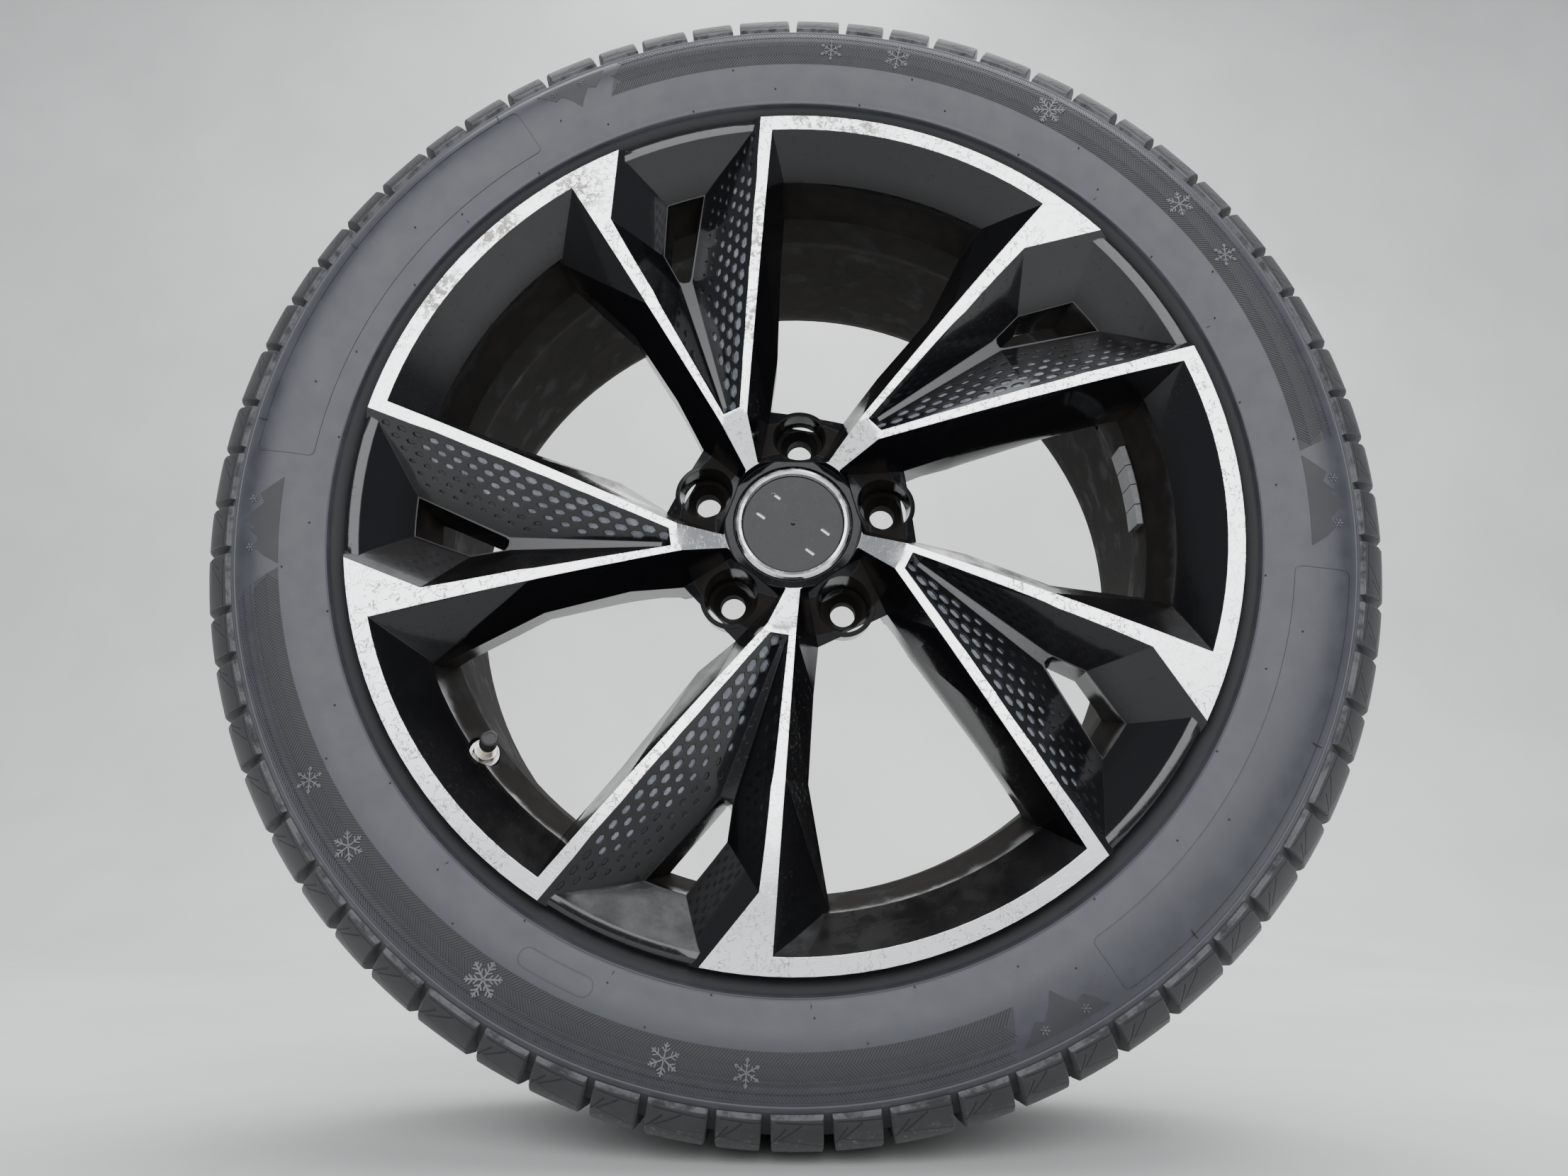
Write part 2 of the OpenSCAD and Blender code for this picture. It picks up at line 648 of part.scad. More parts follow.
module tyre() {
    color([0.1, 0.1, 0.11]) stood_up() difference() {
        tyre_section();
        for (i = [0 : block_n - 1]) {
            at_angle(block_angle(i)) shoulder_groove();
            at_angle(block_angle(i) + 2.4) mirror([0, 0, 1]) shoulder_groove();
        }
    }
}

// Moulded cap with its face, skirt and clip fingers
cap_face_depth = 36.4;
finger_r = throat_d / 2 - cap_gap;
module centre_cap_body() {
    inner = finger_r - 2.4;
    seat = lobe_depth - cap_gap;
    slot_slant = -37;
    color("black") stood_up() {
        difference() {
            spun([[0, up(cap_face_depth - 0.8)], [ring_in_r * 0.6, up(cap_face_depth - 0.4)],
                  [ring_in_r - cap_gap, up(cap_face_depth)],
                  [ring_in_r - cap_gap, up(seat - 1.8)], [ring_seat_r - 2 * cap_gap, up(seat - 1.8)],
                  [ring_seat_r - 2 * cap_gap, up(seat)], [finger_r, up(seat)],
                  [finger_r, up(throat_back + 0.6)], [finger_r + 1.4, up(throat_back + 1.6)],
                  [finger_r - 0.6, up(throat_back + 4)], [inner, up(throat_back + 4)],
                  [inner, up(cap_face_depth + cap_face_t)], [0, up(cap_face_depth + cap_face_t)]]);
            for (i = [0 : finger_n - 1])
                rotate([0, 0, i * 360 / finger_n])
                    translate([inner - 2, -2, up(throat_back + 5)])
                        cube([8, 4, throat_back + 5 - seat - 2.5]);
            for (p = [[-9.8, 17], [-18.8, 5]], side = [1, -1])
                translate([side * p[0], side * p[1], up(cap_face_depth)])
                    rotate([0, 0, slot_slant]) cube([6, 1.8, 12], center = true);
        }
    }
}

ring_in_r = ring_d / 2 - ring_w;
module centre_cap_ring() {
    crest = collar_depth - 1.2;
    foot = lobe_depth - cap_gap - 1.8;
    color("silver") stood_up()
        spun([[ring_in_r, up(foot)], [ring_in_r, up(cap_face_depth - 0.7)],
              [ring_in_r + 0.9, up(crest + 0.5)], [ring_in_r + 2.4, up(crest)],
              [ring_d / 2 - 1.6, up(crest + 0.5)], [ring_d / 2 - 0.3, up(crest + 1.6)],
              [ring_d / 2, up(crest + 2.6)], [ring_d / 2, up(foot)]]);
}

// Wire ring that presses the fingers outwards
module cap_spring_ring() {
    wire = 1.4;
    ring_r = finger_r - 2.4 - wire / 2 - 0.02;
    color("gainsboro") stood_up()
        translate([0, 0, up(throat_back + 1.6)])
            rotate_extrude(angle = 345) translate([ring_r, 0]) circle(d = wire, $fn = 24);
}

// Valve pieces share one axis, with z = 0 at the seat of the nut
grommet_t = 2.2;
washer_t = 1.2;
nut_h = 6;
head_t = 3;
core_bore_d = 4.6;
core_d = core_bore_d - 0.1;
pin_d = 1.4;
core_top = stem_l - 4;
core_l = 12;
module valve_stem() {
    low = -valve_wall - grommet_t;
    color("silver") stood_up() at_valve() difference() {
        rotate_extrude($fn = 64)
            polygon([[0, low - head_t], [8, low - head_t], [8.6, low - head_t + 0.8], [8.6, low],
                     [stem_d / 2 + 0.2, low], [stem_d / 2 + 0.2, -1], [stem_d / 2, 0],
                     [stem_d / 2, stem_l - 0.8], [stem_d / 2 - 0.7, stem_l], [0, stem_l]]);
        translate([0, 0, low - head_t - 1]) cylinder(h = 60, d = 2.4, $fn = 32);
        translate([0, 0, core_top - core_l - 2]) cylinder(h = 40, d = core_bore_d, $fn = 48);
    }
}

module valve_grommet() {
    low = -valve_wall - grommet_t;
    inner = stem_d / 2 + 0.25;
    color([0.12, 0.12, 0.12]) stood_up() at_valve()
        rotate_extrude($fn = 64)
            polygon([[inner, low + 0.05], [8.2, low + 0.05], [8.2, -valve_wall - 0.05],
                     [valve_hole_d / 2 - 0.1, -valve_wall - 0.05], [valve_hole_d / 2 - 0.1, -0.3],
                     [inner, -0.3]]);
}

module valve_washer() {
    color("gainsboro") stood_up() at_valve() difference() {
        translate([0, 0, 0.05]) cylinder(h = washer_t - 0.05, d = nut_af + 4.4, $fn = 64);
        translate([0, 0, -1]) cylinder(h = 4, d = stem_d + 0.2, $fn = 48);
    }
}

module valve_nut() {
    color("silver") stood_up() at_valve() difference() {
        union() {
            translate([0, 0, washer_t]) intersection() {
                cylinder(h = nut_h - 1, d = nut_af / cos(30), $fn = 6);
                translate([0, 0, -4.2])
                    cylinder(h = nut_h + 3.2, r1 = nut_af / 2 + 5.2, r2 = nut_af / 2 + 0.1, $fn = 64);
            }
            translate([0, 0, washer_t]) cylinder(h = nut_h, d = nut_af - 1.6, $fn = 64);
        }
        translate([0, 0, -1]) cylinder(h = 20, d = stem_d + 0.1, $fn = 48);
    }
}

// The removable core: a barrel, its seal, and a sprung pin through the middle
module valve_core_barrel() {
    color("goldenrod") stood_up() at_valve() difference() {
        rotate_extrude($fn = 48)
            polygon([[0, core_top - core_l], [core_d / 2 - 0.6, core_top - core_l],
                     [core_d / 2 - 0.6, core_top - 8], [core_d / 2, core_top - 7],
                     [core_d / 2, core_top], [0, core_top]]);
        translate([0, 0, core_top - core_l - 1]) cylinder(h = core_l + 2, d = pin_d + 0.7, $fn = 32);
        translate([0, 0, core_top - 6]) cylinder(h = 8, d = pin_d + 1.6, $fn = 32);
    }
}

module valve_core_seal() {
    color([0.15, 0.15, 0.15]) stood_up() at_valve()
        translate([0, 0, core_top - core_l + 1])
            rotate_extrude($fn = 48) polygon([[core_d / 2 - 0.58, 0], [core_d / 2 + 0.02, 0.4],
                                              [core_d / 2 + 0.02, 2.2], [core_d / 2 - 0.58, 2.6]]);
}

// Coil spring around the pin, drawn as stacked turns joined by a thin spine
spring_wire = 0.3;
spring_turns = 6;
module valve_core_spring() {
    spring_r = pin_d / 2 + 0.45;
    pitch = 4.4 / spring_turns;
    color("gainsboro") stood_up() at_valve()
        translate([0, 0, core_top - 5.8]) {
            for (i = [0 : spring_turns])
                translate([0, 0, i * pitch])
                    rotate_extrude($fn = 48) translate([spring_r, 0])
                        circle(d = spring_wire, $fn = 16);
            translate([spring_r - 0.1, -0.1, 0]) cube([0.2, 0.2, spring_turns * pitch]);
        }
}

pin_head = 0.6;
module valve_core_pin() {
    color("gold") stood_up() at_valve()
        rotate_extrude($fn = 32)
            polygon([[0, core_top - core_l - 3], [pin_d / 2, core_top - core_l - 3],
                     [pin_d / 2, core_top - 1.1], [pin_d / 2 + pin_head, core_top - 1.1],
                     [pin_d / 2 + pin_head, core_top - 0.5], [pin_d / 2, core_top - 0.5],
                     [pin_d / 2, stem_l - 1.2], [0, stem_l - 1]]);
}

// Ribbed cap and the small seal inside it
cap_roof = 2.2;
seal_t = 1;
cap_low = stem_l + seal_t + 0.3 + cap_roof - valve_cap_l;
module valve_cap() {
    shell = valve_cap_d / 2;
    rib = 0.3;
    inner = stem_d / 2 + thread_gap;
    low = cap_low;
    top = cap_low + valve_cap_l;
    color([0.08, 0.08, 0.08]) stood_up() at_valve() difference() {
        union() {
            rotate_extrude($fn = 64)
                polygon([[0, low], [shell - rib, low], [shell - rib, top - 0.6],
                         [shell - 1.1, top], [0, top]]);
            translate([0, 0, low]) cylinder(h = 1, r = shell - 0.1, $fn = 64);
            translate([0, 0, top - 3]) cylinder(h = 1.6, r = shell - 0.1, $fn = 64);
            for (i = [0 : rib_n - 1])
                rotate([0, 0, i * 360 / rib_n])
                    translate([shell - rib - 0.3, -0.25, low + 0.5])
                        cube([rib + 0.3, 0.5, valve_cap_l - 3]);
        }
        translate([0, 0, low - 1]) cylinder(h = valve_cap_l - cap_roof + 1, r = inner, $fn = 48);
        translate([0, 0, top - 0.5]) cylinder(h = 2, r = shell - 1.9, $fn = 48);
    }
}

module valve_cap_seal() {
    top = cap_low + valve_cap_l - cap_roof - 0.02;
    color([0.5, 0.1, 0.1]) stood_up() at_valve()
        translate([0, 0, top - seal_t]) difference() {
            cylinder(h = seal_t, r = stem_d / 2 + thread_gap - 0.05, $fn = 48);
            translate([0, 0, -1]) cylinder(h = 4, r = 1.6, $fn = 32);
        }
}

// Four adhesive weights in a row behind the spokes, on one strip of tape
weight_n = 4;
weight_in_r = barrel_in_r - tape_t;
weight_low = up(disc_back) - 1.5 - weight_w;
glue_gap = 0.02;
weight_step = 180 * (weight_l + 0.5) / (PI * (weight_in_r - weight_t));
module weight_tape() {
    span = weight_n * weight_step;
    color([0.1, 0.1, 0.1]) stood_up() at_angle(weight_start + span)
        rotate([0, 0, 90])
            rotate_extrude(angle = span, $fn = 180)
                translate([weight_in_r + glue_gap, weight_low + 1])
                    square([tape_t - 2 * glue_gap, weight_w - 1.5]);
}

module balance_weight(i) {
    color("darkgray") stood_up() at_angle(weight_start + (i + 0.5) * weight_step)
        rotate([90, 0, 0]) translate([0, 0, -weight_in_r])
            intersection() {
                translate([0, weight_low + weight_w / 2, 0])
                    linear_extrude(weight_t) square([weight_l, weight_w], center = true);
                translate([0, cutter, weight_in_r]) rotate([90, 0, 0])
                    cylinder(h = 2 * cutter, r = weight_in_r, $fn = 180);
            }
}

alloy_wheel();
tyre();
centre_cap_body();
centre_cap_ring();
cap_spring_ring();
valve_stem();
valve_grommet();
valve_washer();
valve_nut();
valve_core_barrel();
valve_core_seal();
valve_core_spring();
valve_core_pin();
valve_cap();
valve_cap_seal();
weight_tape();
balance_weight(0);  // balance_weight_1
balance_weight(1);  // balance_weight_2
balance_weight(2);  // balance_weight_3
balance_weight(3);  // balance_weight_4
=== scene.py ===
# %% [markdown]
# # A car wheel with its tyre
#
# This lesson dresses the solids of a wheel in Blender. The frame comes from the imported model, in
# metres. The axle is the Y axis, the outer face looks towards -Y, and up is +Z.
# Each step says what the piece is on the real wheel, how it could be made, and why it is made so.

# %% Load the frame and note its size
import math

import bmesh
import bpy
import numpy as np
from mathutils import Matrix, Vector


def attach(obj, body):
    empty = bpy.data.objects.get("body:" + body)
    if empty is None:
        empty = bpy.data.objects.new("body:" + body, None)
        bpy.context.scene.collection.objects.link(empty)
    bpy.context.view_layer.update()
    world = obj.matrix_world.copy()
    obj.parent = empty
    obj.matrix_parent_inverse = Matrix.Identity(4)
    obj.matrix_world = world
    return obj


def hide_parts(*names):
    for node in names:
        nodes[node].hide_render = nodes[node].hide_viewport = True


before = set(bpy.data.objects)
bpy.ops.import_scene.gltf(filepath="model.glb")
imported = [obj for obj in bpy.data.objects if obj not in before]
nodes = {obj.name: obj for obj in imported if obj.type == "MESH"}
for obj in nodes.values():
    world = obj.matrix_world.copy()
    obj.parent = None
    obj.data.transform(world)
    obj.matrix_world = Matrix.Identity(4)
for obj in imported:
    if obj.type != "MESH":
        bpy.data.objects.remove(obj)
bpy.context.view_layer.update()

# %% [markdown]
# ## The camera
#
# The photograph was taken close, from low in front of the wheel, so the wheel leans back in it.
# The lens could be guessed by eye. It was worked out from the fivefold pattern of the spokes and
# the rim's standard size, because then every later comparison can be made point by point.

# %% Camera
view_from = Vector((0.0010, -0.7066, -0.1996))
view_ahead = Vector((-0.0095, 0.9685, 0.2489)).normalized()
view_right = view_ahead.cross(Vector((0.0003, -0.2489, 0.9686))).normalized()
view_up = view_right.cross(view_ahead)
lens = bpy.data.cameras.new("front_camera")
lens.sensor_width = 36
lens.lens = 25.82
lens.clip_start = 0.01
camera = bpy.data.objects.new("front_camera", lens)
bpy.context.scene.collection.objects.link(camera)
turn = Matrix((view_right, view_up, -view_ahead)).transposed().to_4x4()
camera.matrix_world = Matrix.Translation(view_from) @ turn
bpy.context.scene.camera = camera
print("camera at", tuple(round(c, 4) for c in view_from))

# %% [markdown]
# ## Short ways to write a finish
#
# A finish is a tree of shader nodes. Drawing such trees by hand is quick, but a script can be
# read again, so a small class keeps the tree and adds one node for each call. Everything that
# is the same all over the surface is put straight on the shader's own socket.

# %% A class for finishes
class Finish:
    def __init__(self, name, **constants):
        self.material = bpy.data.materials.new(name)
        self.material.use_nodes = True
        self.tree = self.material.node_tree
        self.shader = self.tree.nodes["Principled BSDF"]
        self.place = self.add("TexCoord").outputs["Object"]
        for socket, value in constants.items():
            self.set(socket.replace("_", " "), value)

    def put(self, socket, value):
        if isinstance(value, bpy.types.NodeSocket):
            self.tree.links.new(value, socket)
        elif isinstance(value, tuple) and len(value) == 3 and socket.type == "RGBA":
            socket.default_value = (*value, 1.0)
        else:
            socket.default_value = value

    def set(self, socket, value):
        self.put(self.shader.inputs[socket], value)

    def add(self, kind, inputs=(), **settings):
        made = self.tree.nodes.new("ShaderNode" + kind)
        for key, value in settings.items():
            setattr(made, key, value)
        for key, value in dict(inputs).items():
            self.put(made.inputs[key], value)
        return made

    def math(self, operation, a, b=0.0, c=0.0):
        made = self.add("Math", {0: a, 1: b, 2: c}, operation=operation)
        return made.outputs[0]

    def vector(self, operation, a, b=(0.0, 0.0, 0.0), output="Vector"):
        made = self.add("VectorMath", {0: a, 1: b}, operation=operation)
        return made.outputs[output]

    def between(self, value, low, high, start=0.0, end=1.0):
        ends = {"Value": value, "From Min": low, "From Max": high, "To Min": start, "To Max": end}
        return self.add("MapRange", ends, interpolation_type="SMOOTHSTEP").outputs["Result"]

    def noise(self, scale, detail=3.0, roughness=0.55, where=None, stretch=None):
        where = self.place if where is None else where
        if stretch is not None:
            where = self.vector("MULTIPLY", where, stretch)
        ends = {"Vector": where, "Scale": scale, "Detail": detail, "Roughness": roughness}
        return self.add("TexNoise", ends).outputs["Fac"]

    def mix(self, share, first, second):
        made = self.add("Mix", data_type="RGBA")
        self.put(made.inputs["Factor"], share)
        self.put(made.inputs[6], first)
        self.put(made.inputs[7], second)
        return made.outputs[2]

    def bump(self, height, distance, strength=1.0, normal=None):
        ends = {"Height": height, "Distance": distance, "Strength": strength}
        if normal is not None:
            ends["Normal"] = normal
        return self.add("Bump", ends).outputs["Normal"]

    def radius(self):
        flat = self.vector("MULTIPLY", self.place, (1.0, 0.0, 1.0))
        return self.vector("LENGTH", flat, output="Value")

    def axis(self, name):
        return self.add("SeparateXYZ", {0: self.place}).outputs[name]

    def near(self, spots, reach):
        total = None
        for spot in spots:
            away = self.vector("DISTANCE", self.place, spot, output="Value")
            share = self.between(away, reach, reach * 0.3)
            total = share if total is None else self.math("MAXIMUM", total, share)
        return total


print("the finish class is ready")

# %% [markdown]
# ## Angles around the wheel
#
# Angles run clockwise from the top, as seen from the front. Everything that goes around the
# wheel is first modelled at the top and then turned about the axle.

# %% Sizes shared by the pieces, in millimetres
face_z = 117.0
spoke_turn = -32.0
sector = 72.0
face_curve_r = 207.0
arm_apex_r = 71.0
hub_edge_r = 66.0
tip_r = 41.0


def face_depth(r):
    t = (face_curve_r - r) / (face_curve_r - arm_apex_r)
    slope = 13.5 * (0.3 * t + 0.7 * t * t)
    near_hub = 14.36 + (30 - 14.36) * (hub_edge_r - r) / (hub_edge_r - tip_r)
    return np.where(r >= face_curve_r, 0.0, np.where(r >= hub_edge_r, slope, near_hub))


def at(radius, angle, height):
    """A point in metres from a radius, an angle and a height above the middle plane."""
    a = math.radians(angle)
    return (radius * math.sin(a) / 1000, -height / 1000, radius * math.cos(a) / 1000)


print("face depth at the hub:", float(face_depth(np.array(tip_r))))

# %% [markdown]
# ## Finishes of the casting
#
# The casting is painted gloss black all over, and then its face is turned on a lathe, which
# leaves bright metal with fine rings under a clear coat. Where stones have broken that coat,
# corrosion creeps under it in thin grey-brown threads. The rings are noise that only changes
# with the radius, and the threads are the narrow band where two noises cross their middle value.

# %% Machined aluminium
bare = Finish("machined_aluminium", Metallic=1.0, Anisotropic=0.45,
              Coat_Weight=0.6, Coat_Roughness=0.12)
ring_place = bare.vector("MULTIPLY", bare.add("CombineXYZ", {0: bare.radius()}).outputs[0],
                         (1.0, 0.0, 0.0))
rings = bare.noise(2600.0, 4.0, 0.7, where=ring_place)
wide_rings = bare.noise(190.0, 2.0, 0.5, where=ring_place)
worn_spots = [at(243, 3, 117), at(243, 9, 117), at(180, -4, 115), at(160, -5, 113),
              at(236, -33, 117), at(243, -46, 117), at(243, -58, 117), at(120, -12, 109)]
worn_area = bare.math("MAXIMUM", bare.near(worn_spots, 0.03),
                      bare.between(bare.noise(14.0, 2.0, 0.5), 0.42, 0.56, 0.15, 0.85))
waver = bare.add("TexNoise", {"Vector": bare.place, "Scale": 90.0}).outputs["Color"]
bent = bare.vector("ADD", bare.place, bare.vector("MULTIPLY", waver, (0.012, 0.012, 0.012)))
thread_noise = bare.noise(150.0, 3.0, 0.55, where=bent)
thread_edge = bare.math("ABSOLUTE", bare.math("SUBTRACT", thread_noise, 0.5))
threads = bare.between(thread_edge, 0.016, 0.004)
patches = bare.math("MULTIPLY", bare.between(bare.noise(260.0, 5.0, 0.7), 0.5, 0.6),
                    bare.near(worn_spots, 0.022))
corroded = bare.math("MAXIMUM", bare.math("MULTIPLY", threads, worn_area), patches)
stains = bare.between(bare.noise(24.0, 4.0, 0.6), 0.5, 0.8, 0.0, 0.12)
bright = bare.mix(wide_rings, (0.88, 0.89, 0.91), (0.95, 0.955, 0.965))
dulled = bare.mix(stains, bright, (0.6, 0.59, 0.57))
bare.set("Base Color", bare.mix(corroded, dulled, (0.32, 0.29, 0.25)))
base_rough = bare.between(rings, 0.2, 0.8, 0.2, 0.34)
rough = bare.math("ADD", base_rough, bare.math("MULTIPLY", corroded, 0.3))
bare.set("Roughness", rough)
tangent = bare.vector("NORMALIZE", bare.vector("CROSS_PRODUCT", bare.place, (0.0, 1.0, 0.0)))
bare.set("Tangent", tangent)
rounded = bare.add("Bevel", {"Radius": 0.0007}, samples=4).outputs["Normal"]
lathe_marks = bare.bump(rings, 0.00002, 0.5, rounded)
bare.set("Normal", bare.bump(corroded, 0.0002, 0.6, lathe_marks))
print("machined finish:", len(bare.tree.nodes), "nodes")

# %% [markdown]
# The paint is a smooth gloss black with a very slight ripple. Road dust lies on what faces up
# and in the barrel, where brake dust turns it a matt brown. Dust could be painted by hand; here
# the direction of the surface, the depth and a noise decide it, so it also lies right behind.

# %% Gloss black paint with dust
paint = Finish("gloss_black_paint", Coat_Roughness=0.04)
depth = paint.axis("Y")
faces_up = paint.add("SeparateXYZ", {0: paint.add("NewGeometry").outputs["Normal"]}).outputs["Z"]
barrel = paint.math("MULTIPLY", paint.between(depth, -0.098, -0.078),
                    paint.between(paint.radius(), 0.19, 0.204))
deep_down = paint.between(depth, -0.106, -0.084)
ledge = paint.math("MULTIPLY", paint.between(faces_up, 0.25, 0.9), 0.3)
mottle = paint.between(paint.noise(38.0, 6.0, 0.65), 0.35, 0.7)
specks = paint.between(paint.noise(420.0, 3.0, 0.6), 0.6, 0.68)
behind = paint.between(depth, -0.06, -0.03, 0.0, 0.35)
bolt_zone = paint.math("MULTIPLY", paint.between(paint.radius(), 0.044, 0.047),
                       paint.between(paint.radius(), 0.068, 0.065))
seats = paint.math("MULTIPLY", bolt_zone, paint.between(depth, -0.09, -0.08))
dust = paint.math("MAXIMUM", paint.math("MULTIPLY", barrel, 0.9),
                  paint.math("MAXIMUM", ledge, behind))
dust = paint.math("MAXIMUM", dust, paint.math("MULTIPLY", seats, 0.8))
dust = paint.math("MULTIPLY", dust, paint.math("ADD", 0.45, paint.math("MULTIPLY", mottle, 0.55)))
dust = paint.math("MAXIMUM", dust, paint.math("MULTIPLY", specks, 0.10))
paint.set("Base Color", paint.mix(dust, (0.004, 0.004, 0.005), (0.022, 0.019, 0.016)))
paint.set("Roughness", paint.between(dust, 0.0, 0.6, 0.12, 0.75))
dull = paint.math("MAXIMUM", dust, paint.math("MULTIPLY", deep_down, 0.22))
paint.set("Specular IOR Level", paint.between(dull, 0.0, 0.4, 0.42, 0.06))
paint.set("Coat Weight", paint.between(dull, 0.0, 0.3, 0.4, 0.0))
soft_edge = paint.add("Bevel", {"Radius": 0.0009}, samples=4).outputs["Normal"]
ripple = paint.bump(paint.noise(240.0, 2.0, 0.5), 0.0001, 0.12, soft_edge)
paint.set("Normal", paint.bump(specks, 0.0001, 0.2, ripple))
# The floors of the dimple cells are the same gloss black paint; their light blue-grey colour here is a
# painted reflection of the sky, mottled by a noise.
cell_reflection_finish = Finish("cell_floor_painted_reflection", Coat_Weight=0.5, Coat_Roughness=0.1)
cell_reflection_mottle = cell_reflection_finish.between(cell_reflection_finish.noise(180.0, 4.0, 0.6), 0.35, 0.7)
cell_reflection_finish.set("Base Color", cell_reflection_finish.mix(cell_reflection_mottle, (0.1, 0.11, 0.132), (0.2, 0.212, 0.236)))
cell_reflection_finish.set("Roughness", cell_reflection_finish.between(cell_reflection_mottle, 0.0, 1.0, 0.25, 0.4))
print("paint finish:", len(paint.tree.nodes), "nodes")

# %% [markdown]
# ## The casting
#
# The solid already has the true shape of the spokes, pockets, dimples and holes, so nothing is
# remodelled. A copy of its mesh is merged into one skin, and each face is given the machined
# finish if it lies on the turned surface, and the paint if not. That is how the real edge
# between bright metal and paint comes about, so the border falls in the right place by itself.

# %% Copy and merge the casting
def merged_copy(node_name, new_name):
    source = nodes[node_name].data
    points = np.zeros(len(source.vertices) * 3)
    source.vertices.foreach_get("co", points)
    work = bmesh.new()
    made = [work.verts.new(p) for p in points.reshape(-1, 3)]
    for face in source.polygons:
        work.faces.new([made[i] for i in face.vertices])
    bmesh.ops.remove_doubles(work, verts=work.verts, dist=2e-6)
    bmesh.ops.dissolve_degenerate(work, edges=work.edges, dist=2e-6)
    mesh = bpy.data.meshes.new(new_name)
    work.to_mesh(mesh)
    work.free()
    made = bpy.data.objects.new(new_name, mesh)
    bpy.context.scene.collection.objects.link(made)
    return made


def flat_patches(mesh, limit):
    """Groups of neighbouring faces that meet at less than the limit."""
    sharing = {}
    for face in mesh.polygons:
        for edge in face.edge_keys:
            sharing.setdefault(edge, []).append(face.index)
    leader = list(range(len(mesh.polygons)))

    def top(i):
        while leader[i] != i:
            leader[i] = leader[leader[i]]
            i = leader[i]
        return i

    for pair in sharing.values():
        if len(pair) == 2:
            one, two = (mesh.polygons[i] for i in pair)
            if one.normal.angle(two.normal, math.pi) < limit:
                leader[top(pair[0])] = top(pair[1])
    groups = {}
    for face in mesh.polygons:
        groups.setdefault(top(face.index), []).append(face)
    return groups.values()


casting = merged_copy("alloy_wheel", "wheel_casting")
casting.data.materials.append(paint.material)
casting.data.materials.append(bare.material)
casting.data.materials.append(cell_reflection_finish.material)
turned_edge_r = 248.2
cell_area = (9, 42)
cell_r = (75, 215)
cell_lean = (-0.93, -0.6)
machined = 0
for face in casting.data.polygons:
    x, y, z = (c * 1000 for c in face.center)
    r = math.hypot(x, z)
    on_turned_face = abs(y + face_z - float(face_depth(np.array(r)))) < 0.5
    if on_turned_face and face.normal.y < -0.8 and tip_r - 1 < r < turned_edge_r:
        face.material_index = 1
        machined += 1
cells = 0
# Flat patches of a dimple's size and lean take the cell finish, with its painted reflection of the sky.
for faces in flat_patches(casting.data, math.radians(6)):
    area = sum(face.area for face in faces) * 1e6
    first = faces[0]
    r = math.hypot(first.center.x, first.center.z) * 1000
    right_size = cell_area[0] < area < cell_area[1] and cell_r[0] < r < cell_r[1]
    if right_size and cell_lean[0] < first.normal.y < cell_lean[1]:
        cells += 1
        for face in faces:
            face.material_index = 2
casting.data.shade_smooth()
casting.data.set_sharp_from_angle(angle=math.radians(24))
even = casting.modifiers.new("even_shading", "WEIGHTED_NORMAL")
even.keep_sharp = True
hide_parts("alloy_wheel")
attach(casting, "wheel")
print("casting faces:", len(casting.data.polygons), "machined:", machined, "cells:", cells)

# %% [markdown]
# ## Copies around the axle
#
# A tyre repeats its blocks, nubs and ornament all the way round, each with its own small change
# in length. Geometry Nodes can do this: a mesh of stations holds one point for each copy, with
# its turn and its stretch as attributes, and the tree puts the sample piece on every station.
# The same tree then serves the blocks, the hatching and the snowflakes.

